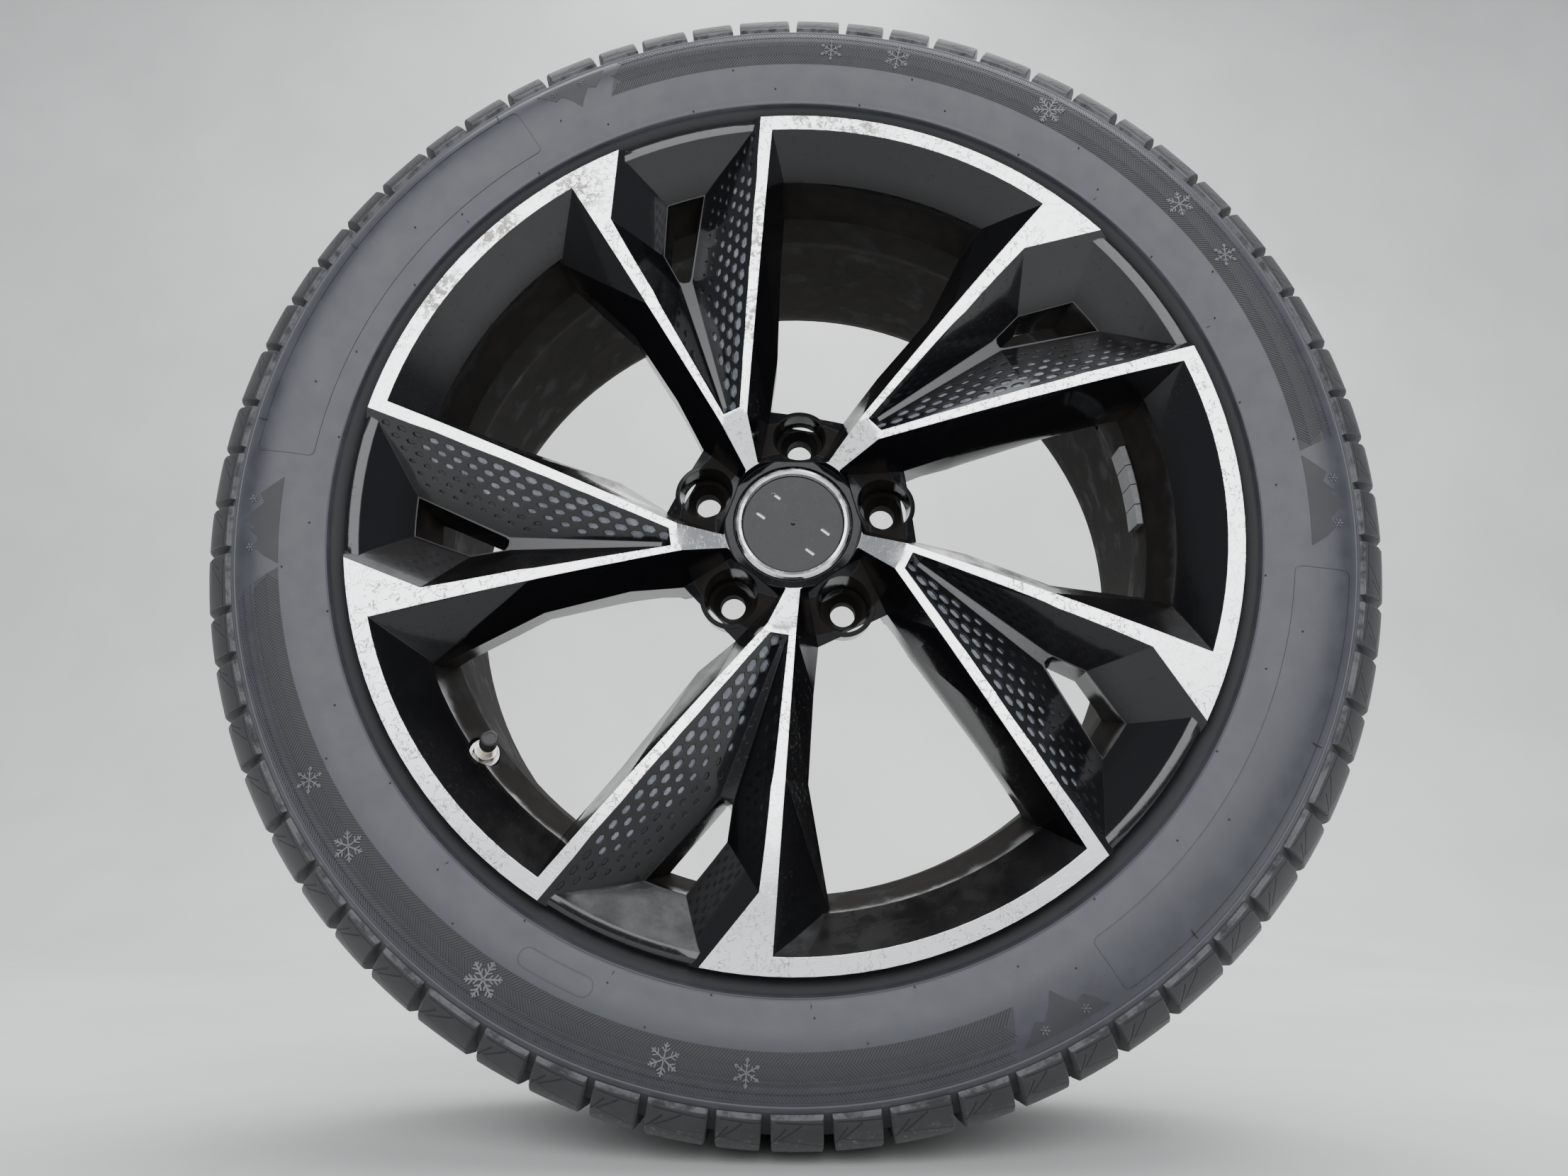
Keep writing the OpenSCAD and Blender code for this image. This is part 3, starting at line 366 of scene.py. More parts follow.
# %% The tree of copies
def copies_tree():
    tree = bpy.data.node_groups.new("copies_around_the_axle", "GeometryNodeTree")
    made = {}
    kinds = [("Stations", "Geometry"), ("Piece", "Object"), ("Finish", "Material"),
             ("Size", "Float"), ("Wander", "Float"), ("Seed", "Int")]
    for name, kind in kinds:
        socket = tree.interface.new_socket(name=name, in_out="INPUT",
                                           socket_type="NodeSocket" + kind)
        made[name] = socket.identifier
    tree.interface.new_socket(name="Copies", in_out="OUTPUT", socket_type="NodeSocketGeometry")
    add = lambda kind: tree.nodes.new(kind)
    start, end = add("NodeGroupInput"), add("NodeGroupOutput")
    info = add("GeometryNodeObjectInfo")
    turn_of, stretch_of = (add("GeometryNodeInputNamedAttribute") for _ in range(2))
    turn_of.data_type = "FLOAT"
    turn_of.inputs["Name"].default_value = "turn"
    stretch_of.data_type = "FLOAT_VECTOR"
    stretch_of.inputs["Name"].default_value = "stretch"
    stray = add("FunctionNodeRandomValue")
    stray.data_type = "FLOAT"
    away = add("ShaderNodeMath")
    away.operation = "MULTIPLY"
    away.inputs[1].default_value = -1.0
    total = add("ShaderNodeMath")
    about = add("ShaderNodeCombineXYZ")
    scaled = add("ShaderNodeVectorMath")
    scaled.operation = "SCALE"
    place = add("GeometryNodeInstanceOnPoints")
    real = add("GeometryNodeRealizeInstances")
    coat = add("GeometryNodeSetMaterial")
    link = tree.links.new
    link(start.outputs["Stations"], place.inputs["Points"])
    link(start.outputs["Piece"], info.inputs["Object"])
    link(info.outputs["Geometry"], place.inputs["Instance"])
    link(start.outputs["Wander"], away.inputs[0])
    link(away.outputs[0], stray.inputs[2])
    link(start.outputs["Wander"], stray.inputs[3])
    link(start.outputs["Seed"], stray.inputs["Seed"])
    link(turn_of.outputs["Attribute"], total.inputs[0])
    link(stray.outputs[1], total.inputs[1])
    link(total.outputs[0], about.inputs["Y"])
    link(about.outputs[0], place.inputs["Rotation"])
    link(stretch_of.outputs["Attribute"], scaled.inputs[0])
    link(start.outputs["Size"], scaled.inputs["Scale"])
    link(scaled.outputs[0], place.inputs["Scale"])
    link(place.outputs[0], real.inputs[0])
    link(real.outputs[0], coat.inputs["Geometry"])
    link(start.outputs["Finish"], coat.inputs["Material"])
    link(coat.outputs[0], end.inputs[0])
    return tree, made


copy_tree, copy_sockets = copies_tree()
print("inputs of the tree:", list(copy_sockets))

# %% [markdown]
# A modifier's inputs are set by the sockets' identifiers before anything is evaluated. The
# result is turned into a plain mesh, and the stations and the sample are thrown away.

# %% Make copies of a sample at stations
def mesh_object(name, points, faces, smooth=True, sharp=35):
    mesh = bpy.data.meshes.new(name)
    mesh.from_pydata([tuple(p) for p in points], [], faces)
    work = bmesh.new()
    work.from_mesh(mesh)
    bmesh.ops.recalc_face_normals(work, faces=work.faces)
    work.to_mesh(mesh)
    work.free()
    if smooth:
        mesh.shade_smooth()
        mesh.set_sharp_from_angle(angle=math.radians(sharp))
    made = bpy.data.objects.new(name, mesh)
    bpy.context.scene.collection.objects.link(made)
    return made


def copies(name, sample, stations, finish, size=1.0, wander=0.0, seed=3):
    """stations: (place in metres, turn in degrees, stretch) for each copy."""
    holder = mesh_object(name + "_stations", [s[0] for s in stations], [], smooth=False)
    turns = holder.data.attributes.new("turn", "FLOAT", "POINT")
    turns.data.foreach_set("value", [math.radians(s[1]) for s in stations])
    widths = holder.data.attributes.new("stretch", "FLOAT_VECTOR", "POINT")
    widths.data.foreach_set("vector", [c for s in stations for c in s[2]])
    modifier = holder.modifiers.new("copies", "NODES")
    modifier.node_group = copy_tree
    values = {"Piece": sample, "Finish": finish.material, "Size": size,
              "Wander": math.radians(wander), "Seed": seed}
    for key, value in values.items():
        modifier[copy_sockets[key]] = value
    graph = bpy.context.evaluated_depsgraph_get()
    graph.update()
    mesh = bpy.data.meshes.new_from_object(holder.evaluated_get(graph), depsgraph=graph)
    mesh.name = name
    for gone in (holder, sample):
        bpy.data.objects.remove(gone)
    made = bpy.data.objects.new(name, mesh)
    bpy.context.scene.collection.objects.link(made)
    print(name, "copies:", len(stations), "faces:", len(mesh.polygons))
    return made


# %% [markdown]
# In the solids the wells of the wheel bolts break out of the outer side of the hub's lobes, and
# on the real wheel they don't. Each is closed here by a thin curved wall.

# %% Outer walls of the bolt wells
bolt_circle_r = 56
lobe_depth = 41
lobe_slope = 0.28
well_floor = 60.0


def well_wall(name, spread=62.0, steps=20):
    points = []
    for k in range(steps + 1):
        a = math.radians(-spread + 2 * spread * k / steps)
        for radius, deep in ((15.4, None), (13.95, well_floor), (17.4, well_floor), (18.2, None)):
            x, z = radius * math.sin(a), bolt_circle_r + radius * math.cos(a)
            if deep is None:
                deep = lobe_depth + (math.hypot(x, z) - bolt_circle_r) * lobe_slope
            points.append((x / 1000, (deep - face_z) / 1000, z / 1000))
    faces = [(4 * i + j, 4 * i + (j + 1) % 4, 4 * i + 4 + (j + 1) % 4, 4 * i + 4 + j)
             for i in range(steps) for j in range(4)]
    faces += [(0, 1, 2, 3), tuple(4 * steps + j for j in range(4))]
    return mesh_object(name, points, faces, sharp=40)


lobes = [((0, 0, 0), spoke_turn + sector * (k + 0.5), (1, 1, 1)) for k in range(5)]
well_walls = copies("bolt_well_walls", well_wall("well_wall_sample"), lobes, paint)
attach(well_walls, "wheel")
print("walls of the bolt wells:", len(lobes))

# %% [markdown]
# ## Finishes of the tyre
#
# The sidewall is dark rubber, slightly mottled, whose colour is lifted to a blue-grey as a painted
# reflection of the sky. The tread is nearly black and rougher, with pale grit where it meets the
# ground. The hatched ornament looks darker than the wall around it, because its ribs trap the light.

# %% Rubber of the sidewall
def rubber(name, low, high, rough, grain=0.0):
    made = Finish(name, Sheen_Weight=0.1, Sheen_Roughness=0.5)
    mottle = made.noise(60.0, 6.0, 0.65)
    fine = made.noise(900.0, 2.0, 0.5)
    tone = made.mix(made.between(mottle, 0.3, 0.7), low, high)
    height = made.axis("Z")
    grit = made.between(made.noise(330.0, 5.0, 0.7), 0.56, 0.66)
    dusty = made.math("MULTIPLY", made.between(height, -0.28, -0.342), grit)
    dusty = made.math("MULTIPLY", dusty, made.between(made.radius(), 0.318, 0.33))
    made.set("Base Color", made.mix(made.math("MULTIPLY", dusty, 0.55), tone, (0.3, 0.27, 0.22)))
    roughness = made.between(mottle, 0.3, 0.7, rough - 0.06, rough + 0.06)
    made.set("Roughness", roughness)
    relief = made.bump(fine, 0.0001, 0.25 + grain)
    made.set("Normal", made.bump(dusty, 0.0004, 0.5, relief))
    return made


# The sidewall's lighter blue-grey tones are a painted reflection of the sky on dark rubber.
side_rubber = rubber("sidewall_rubber", (0.031, 0.033, 0.041), (0.041, 0.0435, 0.054), 0.42)
# The groove rubber is darker: painted shade on the floor between the tread blocks and in the valley beside
# the rim. It also colours the vents' nubs and whiskers.
floor_rubber = rubber("groove_rubber", (0.012, 0.0125, 0.014), (0.02, 0.0205, 0.023), 0.75, 0.3)
hatch_rubber = rubber("hatched_rubber", (0.022, 0.0225, 0.025), (0.03, 0.03, 0.033), 0.6)
light_rubber = rubber("raised_rubber", (0.12, 0.123, 0.134), (0.15, 0.153, 0.163), 0.36)
print("rubber finishes: 4")

# %% [markdown]
# Sipes are thin cuts that let a winter tread grip. They could be cut with a boolean in every
# block. They are less than a millimetre wide, so here each block carries its own flat
# coordinates, in millimetres, and the finish draws the cuts along them, dark and sunken.

# %% Rubber of the blocks, with their sipes
def sipe(finish, spot, start, end, half_width):
    run = Vector(end) - Vector(start)
    away = finish.vector("SUBTRACT", spot, (*start, 0.0))
    along = finish.vector("DOT_PRODUCT", away, (*(run / run.length_squared), 0.0), output="Value")
    along = finish.math("MINIMUM", finish.math("MAXIMUM", along, 0.0), 1.0)
    step = finish.add("VectorMath", {0: (*run, 0.0), "Scale": along}, operation="SCALE")
    gap = finish.vector("SUBTRACT", away, step.outputs["Vector"])
    distance = finish.vector("LENGTH", gap, output="Value")
    return finish.between(distance, half_width, half_width * 0.5)


def block_rubber(name, lines, half_width, foot=None):
    made = rubber(name, (0.017, 0.0175, 0.019), (0.028, 0.0285, 0.031), 0.6, 0.2)
    flat = made.vector("MULTIPLY", made.add("UVMap", uv_map="flat").outputs["UV"],
                       (1000.0, 1000.0, 0.0))
    cuts = None
    for start, end in lines:
        cut = sipe(made, flat, start, end, half_width)
        cuts = cut if cuts is None else made.math("MAXIMUM", cuts, cut)
    colour = made.shader.inputs["Base Color"].links[0].from_socket
    if foot is not None:
        v = made.add("SeparateXYZ", {0: flat}).outputs["Y"]
        worn = made.math("MULTIPLY", made.between(v, foot - 1.2, foot - 0.2),
                         made.between(made.noise(90.0, 4.0, 0.7), 0.35, 0.6))
        colour = made.mix(made.math("MULTIPLY", worn, 0.3), colour, (0.3, 0.31, 0.32))
    made.set("Base Color", made.mix(cuts, colour, (0.006, 0.006, 0.006)))
    under = made.shader.inputs["Normal"].links[0].from_socket
    sunken = made.math("SUBTRACT", 1.0, cuts)
    made.set("Normal", made.bump(sunken, 0.0012, 0.8, under))
    return made


shoulder_lines = [((-14.0, 36.0), (9.0, 42.0)), ((-2.0, 51.0), (9.0, 42.0)),
                  ((-14.0, 51.5), (10.0, 52.5)), ((6.0, 49.0), (14.0, 38.0)),
                  ((-9.5, 0.0), (-9.5, 26.0)), ((-4.5, 4.0), (-4.5, 28.0)),
                  ((0.5, 0.0), (0.5, 26.0)), ((5.5, 4.0), (5.5, 28.0)),
                  ((10.5, 0.0), (10.5, 25.0))]
shoulder_rubber = block_rubber("shoulder_rubber", shoulder_lines, 0.65, foot=54.6)
inner_lines = [((-13, 8), (-4, 11)), ((-4, 11), (4, 6)), ((4, 6), (13, 9)),
               ((-13, 17), (-4, 20)), ((-4, 20), (4, 15)), ((4, 15), (13, 18)),
               ((-13, 26), (-4, 29)), ((-4, 29), (4, 24)), ((4, 24), (13, 27))]
inner_rubber = block_rubber("inner_row_rubber", inner_lines, 0.55)
print("sipes drawn on a block:", len(shoulder_lines))

# %% [markdown]
# ## The carcass
#
# A tyre is one moulding, and its carcass is the same section all the way round. A lathe or a
# screw modifier would do. Here the section is rounded off by cutting its corners twice and then
# spun in a loop, because the sidewall's height is needed again for all that stands on it.

# %% Section of the carcass, as radius and height in millimetres
crown = [(330.85, 0.0), (330.6, 24.0), (328.6, 58.0), (326.84, 64.0), (325.0, 92.0),
         (321.6, 99.0), (317.6, 104.2), (312.9, 110.6), (311.2, 112.5)]
wall = [(310.0, 114.2), (309.2, 115.3), (308.4, 115.5), (307.6, 115.2), (306.6, 116.4),
        (303.6, 118.2), (298.6, 119.8), (291.65, 120.3), (284.0, 119.95), (276.0, 119.0),
        (268.0, 117.2), (262.0, 115.9), (258.7, 115.0), (258.0, 115.3), (257.3, 114.2),
        (256.6, 112.6), (254.0, 111.3), (251.2, 109.2), (249.4, 106.0), (245.5, 102.8),
        (240.5, 101.4), (235.4, 101.4), (231.2, 96.4), (229.8, 84.6)]
inside = [(234.0, 82.6), (245.0, 86.6), (258.5, 103.0), (276.5, 112.0), (291.65, 112.0),
          (307.65, 107.0), (316.85, 97.0), (319.85, 79.0), (321.85, 0.0)]


def rounded_off(points, times=2):
    points = [Vector(p) for p in points]
    for _ in range(times):
        cut = [points[0]]
        for a, b in zip(points, points[1:]):
            cut += [a * 0.75 + b * 0.25, a * 0.25 + b * 0.75]
        points = cut + [points[-1]]
    return [tuple(p) for p in points]


wall = rounded_off(wall)
half = crown + wall + inside
section = half + [(r, -h) for r, h in reversed(half[1:-1])]
wall_r = np.array([p[0] for p in reversed(wall[:-12])])
wall_h = np.array([p[1] for p in reversed(wall[:-12])])


def wall_height(r):
    return float(np.interp(r, wall_r, wall_h))


print("section points:", len(section), "wall at 291 mm:", round(wall_height(291.0), 2))

# %% Spin the carcass
def spun(name, section, steps, finishes, choose):
    angles = np.arange(steps) * 360.0 / steps
    points = [at(r, a, h) for a in angles for r, h in section]
    count = len(section)
    faces = []
    kinds = []
    for i in range(steps):
        for j in range(count):
            k = (j + 1) % count
            n = (i + 1) % steps
            faces.append((i * count + j, i * count + k, n * count + k, n * count + j))
            kinds.append(choose((section[j][0] + section[k][0]) / 2))
    made = mesh_object(name, points, faces, sharp=50)
    for finish in finishes:
        made.data.materials.append(finish.material)
    made.data.polygons.foreach_set("material_index", kinds)
    return made


# Faces beyond 311.5 mm and inside 256.8 mm take the darker groove rubber, as painted shade in the grooves
# and in the valley by the rim.
carcass = spun("tyre_carcass", section, 300, [side_rubber, floor_rubber],
               lambda r: 1 if r > 311.5 or r < 256.8 else 0)
print("carcass faces:", len(carcass.data.polygons))

# %% [markdown]
# ## The tread blocks
#
# The blocks stand on the carcass in four rows around a solid middle rib. Their lengths follow a
# short cycle, so that the tyre doesn't hum on one note. Modelling 260 blocks by hand would be
# slow, so one sample of each row is built at the top from its section, and copied with a stretch.

# %% Build a sample block from its upper section and its foot
def block_sample(name, top, low, width, bevel=0.7):
    """top and low: (radius, height) rows of the outer surface and of the foot below it."""
    columns = [-width / 2, -width / 2 + bevel, -width / 6, width / 6, width / 2 - bevel, width / 2]
    drops = [bevel, 0, 0, 0, 0, bevel]
    run = np.concatenate([[0], np.cumsum([math.dist(a, b) for a, b in zip(top, top[1:])])])
    points, flat = [], []
    rows = len(top)
    for i, (r, h) in enumerate(top):
        lr, lh = low[i]
        inward = Vector((lr - r, lh - h)).normalized()
        for x, drop in zip(columns, drops):
            rr, hh = math.sqrt((r + inward.x * drop) ** 2 - x * x), h + inward.y * drop
            points.append((x / 1000, -hh / 1000, rr / 1000))
            flat.append((x / 1000, run[i] / 1000))
    base = len(points)
    for i, (r, h) in enumerate(low):
        for x in (columns[0], columns[-1]):
            points.append((x / 1000, -h / 1000, math.sqrt(r * r - x * x) / 1000))
            flat.append((x * 1.5 / 1000, run[i] / 1000))
    n = len(columns)
    faces = []
    for i in range(rows - 1):
        for j in range(n - 1):
            faces.append((i * n + j, i * n + j + 1, (i + 1) * n + j + 1, (i + 1) * n + j))
        a, b = base + 2 * i, base + 2 * i + 2
        faces.append((i * n, (i + 1) * n, b, a))
        faces.append((i * n + n - 1, a + 1, b + 1, (i + 1) * n + n - 1))
        faces.append((a, b, b + 1, a + 1))
    last = (rows - 1) * n
    faces.append((base, base + 1, n - 1, *range(n - 2, -1, -1)))
    end = base + 2 * (rows - 1)
    faces.append((*range(last, last + n), end + 1, end))
    made = mesh_object(name, points, faces, sharp=40)
    layer = made.data.uv_layers.new(name="flat")
    for loop in made.data.loops:
        layer.data[loop.index].uv = flat[loop.vertex_index]
    return made


def low_side(z):
    return float(np.interp(z, [0, 24, 64, 92, 99, 104.2, 110.6, 113],
                           [330.2, 330, 326.2, 324.4, 321, 317, 312.3, 311.6]))


def crown_r(z):
    return 338.65 - 4.9 * (abs(z) / 87) ** 2.4


block_cycle = [1.02, 0.9, 0.94, 1, 1.13, 0.94, 1, 0.88, 1.12, 0.91, 1.04, 0.96, 1.16] * 5
block_count = len(block_cycle)
total = sum(block_cycle)
gap_angles = [360 * sum(block_cycle[:i]) / total for i in range(block_count + 1)]
pitch = 2 * math.pi * 325 / block_count
gap = 6.5
shoulder_top = [(335.0, 67.6), (335.8, 68.4), (crown_r(77), 77), (333.95, 87), (331.85, 95),
                (329.05, 101), (324.85, 106.6), (319.35, 110.5), (314.6, 112.75), (313.7, 112.9),
                (313.0, 112.2)]
shoulder_low = [(low_side(h), h) for h in (67.6, 68.4, 77, 86, 92, 98, 103, 107.4, 110.2, 111.2, 111.6)]
inner_top = [(crown_r(27) - 0.8, 27.6), (crown_r(28.4), 28.4), (crown_r(36), 36),
             (crown_r(44), 44), (crown_r(52), 52), (crown_r(59.6), 59.6), (crown_r(60) - 0.8, 60.4)]
inner_low = [(low_side(h), h) for _, h in inner_top]
rib_top = [(crown_r(21) - 0.8, -20.4), (crown_r(19), -19.4), (crown_r(8), -8), (crown_r(0), 0),
           (crown_r(8), 8), (crown_r(19), 19.4), (crown_r(21) - 0.8, 20.4)]
rib_low = [(329.9, h) for _, h in rib_top]
print("mean pitch of the blocks:", round(pitch, 2), "mm")

# %% Copy the blocks around both sides
def ring_of_blocks(name, top, low, finish, side, offset, cut):
    """side is 1 for the front and -1 for the rear; cut is the gap between two blocks."""
    flip = [(r, h * side) for r, h in top]
    foot = [(r, h * side) for r, h in low]
    width = 2 * math.pi * top[1][0] / block_count - cut
    sample = block_sample(name + "_sample", flip, foot, width)
    stations = []
    for i, share in enumerate(block_cycle):
        middle = (gap_angles[i] + gap_angles[i + 1]) / 2 + offset
        size = ((width + cut) * share * block_count / total - cut) / width
        stations.append(((0, 0, 0), middle, (size, 1, 1)))
    return copies(name, sample, stations, finish)


tread = [
    ring_of_blocks("shoulder_blocks_front", shoulder_top, shoulder_low, shoulder_rubber, 1, 0, gap),
    ring_of_blocks("shoulder_blocks_rear", shoulder_top, shoulder_low, shoulder_rubber, -1, 2.4, gap),
    ring_of_blocks("inner_blocks_front", inner_top, inner_low, inner_rubber, 1, 0, gap),
    ring_of_blocks("inner_blocks_rear", inner_top, inner_low, inner_rubber, -1, 2.4, gap),
    ring_of_blocks("middle_rib", rib_top, rib_low, inner_rubber, 1, 1.2, 0.9),
]
print("rows of the tread:", len(tread))

# %% [markdown]
# ## Ornament on the sidewall
#
# The moulded ornament is low relief: panels of fine slanting ribs, hills, snowflakes and plain
# outlines. A displacement map would need a very dense wall. Real strips that follow the wall's
# height are lighter, and they catch the light at every angle.

# %% Panels that follow the wall
def slab_faces(rows, n):
    """Faces of a slab of rows by n points, where the upper side's points come first."""
    faces = []
    low = rows * n
    for i in range(rows - 1):
        for j in range(n - 1):
            a, b = i * n + j, (i + 1) * n + j
            faces.append((a, a + 1, b + 1, b))
            faces.append((low + a, low + b, low + b + 1, low + a + 1))
        for j in (0, n - 1):
            a, b = i * n + j, (i + 1) * n + j
            faces.append((a, b, low + b, low + a))
    for j in range(n - 1):
        for i in (0, rows - 1):
            a = i * n + j
            faces.append((a, low + a, low + a + 1, a + 1))
    return faces


def wall_panel(name, outline, finish, raise_by):
    """outline: the radii, the number of columns, and the first and last angle at a radius."""
    radii = outline["radii"]
    points = []
    columns = outline["columns"]
    for lift in (raise_by, -0.6):
        for r in radii:
            first, last = outline["ends"](r)
            for j in range(columns + 1):
                angle = first + (last - first) * j / columns
                points.append(at(r, angle, wall_height(r) + lift))
    made = mesh_object(name, points, slab_faces(len(radii), columns + 1), sharp=40)
    made.data.materials.append(finish.material)
    return made


def band(first, last, lean_first, lean_last, low, high, columns):
    def ends(r):
        t = (r - low) / (high - low)
        return first + lean_first * t, last + lean_last * t
    return {"radii": list(np.linspace(low, high, 7)), "ends": ends, "columns": columns}


zones = [(-23.0, 84.0, 2.4, -1.6), (157.5, 262.5, 1.6, -2.4)]
ornament = [wall_panel("hatch_panel_%d" % i, band(a, b, la, lb, 282.4, 306.0, 150), hatch_rubber, 0.05)
            for i, (a, b, la, lb) in enumerate(zones)]
print("panels:", len(ornament))

# %% [markdown]
# The hatching is hundreds of fine ribs in four bands that lean to and fro, like a chevron
# cloth. One rib for each band is the sample, and the stations march along the band.

# %% Ribs of the hatching
def rib_sample(name, low, high, lean, width=0.7, tall=0.35):
    points, faces = [], []
    for r, a in ((low, 0.0), (high, lean)):
        half_angle = math.degrees(width / 2 / r)
        base = wall_height(r)
        points += [at(r, a - half_angle, base - 0.2), at(r, a, base + tall),
                   at(r, a + half_angle, base - 0.2)]
    faces = [(0, 1, 4, 3), (1, 2, 5, 4), (0, 3, 5, 2), (0, 2, 1), (3, 4, 5)]
    return mesh_object(name, points, faces, smooth=False)


hatch_bands = [(282.6, 289.0, 1.0), (289.0, 296.0, -1.0), (296.0, 302.0, 1.0), (302.0, 305.8, -1.0)]
rib_step = 0.34
hatching = []
for number, (low, high, way) in enumerate(hatch_bands):
    lean = way * math.degrees((high - low) / low) * 0.8
    stations = []
    for first, last, lean_first, lean_last in zones:
        t0 = (low - 282.4) / 23.6
        begin = first + lean_first * t0 + 0.3 + max(0.0, -lean)
        finish_at = last + lean_last * t0 - 0.3 - max(0.0, lean)
        for a in np.arange(begin, finish_at, rib_step):
            stations.append(((0, 0, 0), float(a), (1, 1, 1)))
    sample = rib_sample("hatch_rib_sample", low, high, lean)
    hatching.append(copies("hatch_ribs_%d" % number, sample, stations, hatch_rubber))
print("bands of ribs:", len(hatching))

# %% [markdown]
# Snowflakes and hills are the plain, traditional signs of a winter tyre. A snowflake is six
# equal arms with side twigs, so one arm is written out and turned six times.

# %% Snowflakes
def strip(a, b, width, low, tall):
    """A bar with a ridge from a to b, flat points in millimetres."""
    a, b = Vector(a), Vector(b)
    side = Vector((-(b - a).y, (b - a).x)).normalized() * width / 2
    flat = [a - side, a + side, b + side, b - side]
    top = [a - side * 0.4, a + side * 0.4, b + side * 0.4, b - side * 0.4]
    points = [(p.x / 1000, -low / 1000, p.y / 1000) for p in flat]
    points += [(p.x / 1000, -(low + tall) / 1000, p.y / 1000) for p in top]
    faces = [(4, 5, 6, 7), (3, 2, 1, 0), (0, 1, 5, 4), (1, 2, 6, 5), (2, 3, 7, 6), (3, 0, 4, 7)]
    return points, faces


def joined(name, parts):
    points, faces = [], []
    for more_points, more_faces in parts:
        shift = len(points)
        points += more_points
        faces += [tuple(i + shift for i in f) for f in more_faces]
    return mesh_object(name, points, faces, smooth=False)


def snowflake(name, reach, twigs, ends):
    parts = []
    for k in range(6):
        a = math.radians(60 * k)
        out, side = Vector((math.sin(a), math.cos(a))), Vector((math.cos(a), -math.sin(a)))
        parts.append(strip((0, 0), out * reach, reach * 0.13, 0, 0.7))
        for share, length in twigs:
            foot = out * reach * share
            for way in (-1, 1):
                tip = foot + (out + side * way * 1.1).normalized() * reach * length
                parts.append(strip(foot, tip, reach * 0.11, 0, 0.6))
        if ends:
            for way in (-1, 1):
                near, far = out * reach * 0.86, out * reach * 1.1
                parts.append(strip(near, near + side * way * reach * 0.14, reach * 0.12, 0, 0.7))
                parts.append(strip(near + side * way * reach * 0.14, far, reach * 0.1, 0, 0.7))
    return joined(name, parts)


def on_wall(radius, angle, lift=0.0):
    return at(radius, angle, wall_height(radius) + lift)


middles = (31.8, -148.4)
large = [(on_wall(292.5, a, -0.1), a, (1, 1, 1)) for a in middles]
branched = [(on_wall(292.5, a + d, -0.1), a + d, (1, 1, 1)) for a in middles for d in (-19.2, 19.2)]
tipped = [(on_wall(292.5, a + d, -0.1), a + d, (1, 1, 1)) for a in middles for d in (-27.2, 27.2)]
small_at = [(297.0, 87.4), (297.0, 92.4), (297.0, -95.0), (297.0, -89.6), (298.5, 151.2), (298.5, 155.6),
            (298.5, -29.0), (298.5, -25.6)]
small = [(on_wall(r, a, 0.1), a, (1, 1, 1)) for r, a in small_at]
flakes = [
    copies("snowflakes_large", snowflake("flake", 9.6, [(0.3, 0.3), (0.55, 0.34), (0.78, 0.2)], False),
           large, light_rubber),
    copies("snowflakes_branched", snowflake("flake", 8.0, [(0.45, 0.36), (0.72, 0.22)], False),
           branched, light_rubber),
    copies("snowflakes_tipped", snowflake("flake", 6.4, [(0.42, 0.3)], True), tipped, light_rubber),
    copies("snowflakes_small", snowflake("flake", 2.6, [(0.5, 0.34)], False), small, light_rubber),
]
print("kinds of snowflake:", len(flakes))

# %% [markdown]
# A hill is a panel whose top is a zigzag. Upright hills stand beside the plain fields, and
# hanging ones fill the corners. The panel's columns carry the zigzag, so its edge stays crisp.

# %% Hills
def hill(name, first, last, heights, base, upright):
    points = []
    n = len(heights)
    rows = 4
    for lift in (0.2, -0.6):
        for i in range(rows + 1):
            for j, top in enumerate(heights):
                angle = first + (last - first) * j / (n - 1)
                edge = base + top if upright else base - top
                r = base + (edge - base) * i / rows
                points.append(at(r, angle, wall_height(r) + lift))
    made = mesh_object(name, points, slab_faces(rows + 1, n), sharp=40)
    made.data.materials.append(hatch_rubber.material)
    return made


upright = [0.6, 6, 12, 9, 15, 21, 16, 11, 13, 8, 0.6]
hanging = [0.6, 7, 11, 9, 14, 20, 13, 8, 10, 5, 0.6]
hills = [hill("hill_1", 84.6, 95.0, upright, 282.4, True),
         hill("hill_2", -97.0, -87.0, list(reversed(upright)), 282.4, True),
         hill("hill_3", 149.0, 158.0, hanging, 303.0, False),
         hill("hill_4", -31.0, -22.6, list(reversed(hanging)), 303.0, False)]
print("hills:", len(hills))

# %% [markdown]
# The plain fields are framed by a fine raised line, and small nubs stand where the mould was
# vented, a few with a thin whisker of rubber still on them. A frame is a closed loop of the same
# small section, carried along a rounded outline.

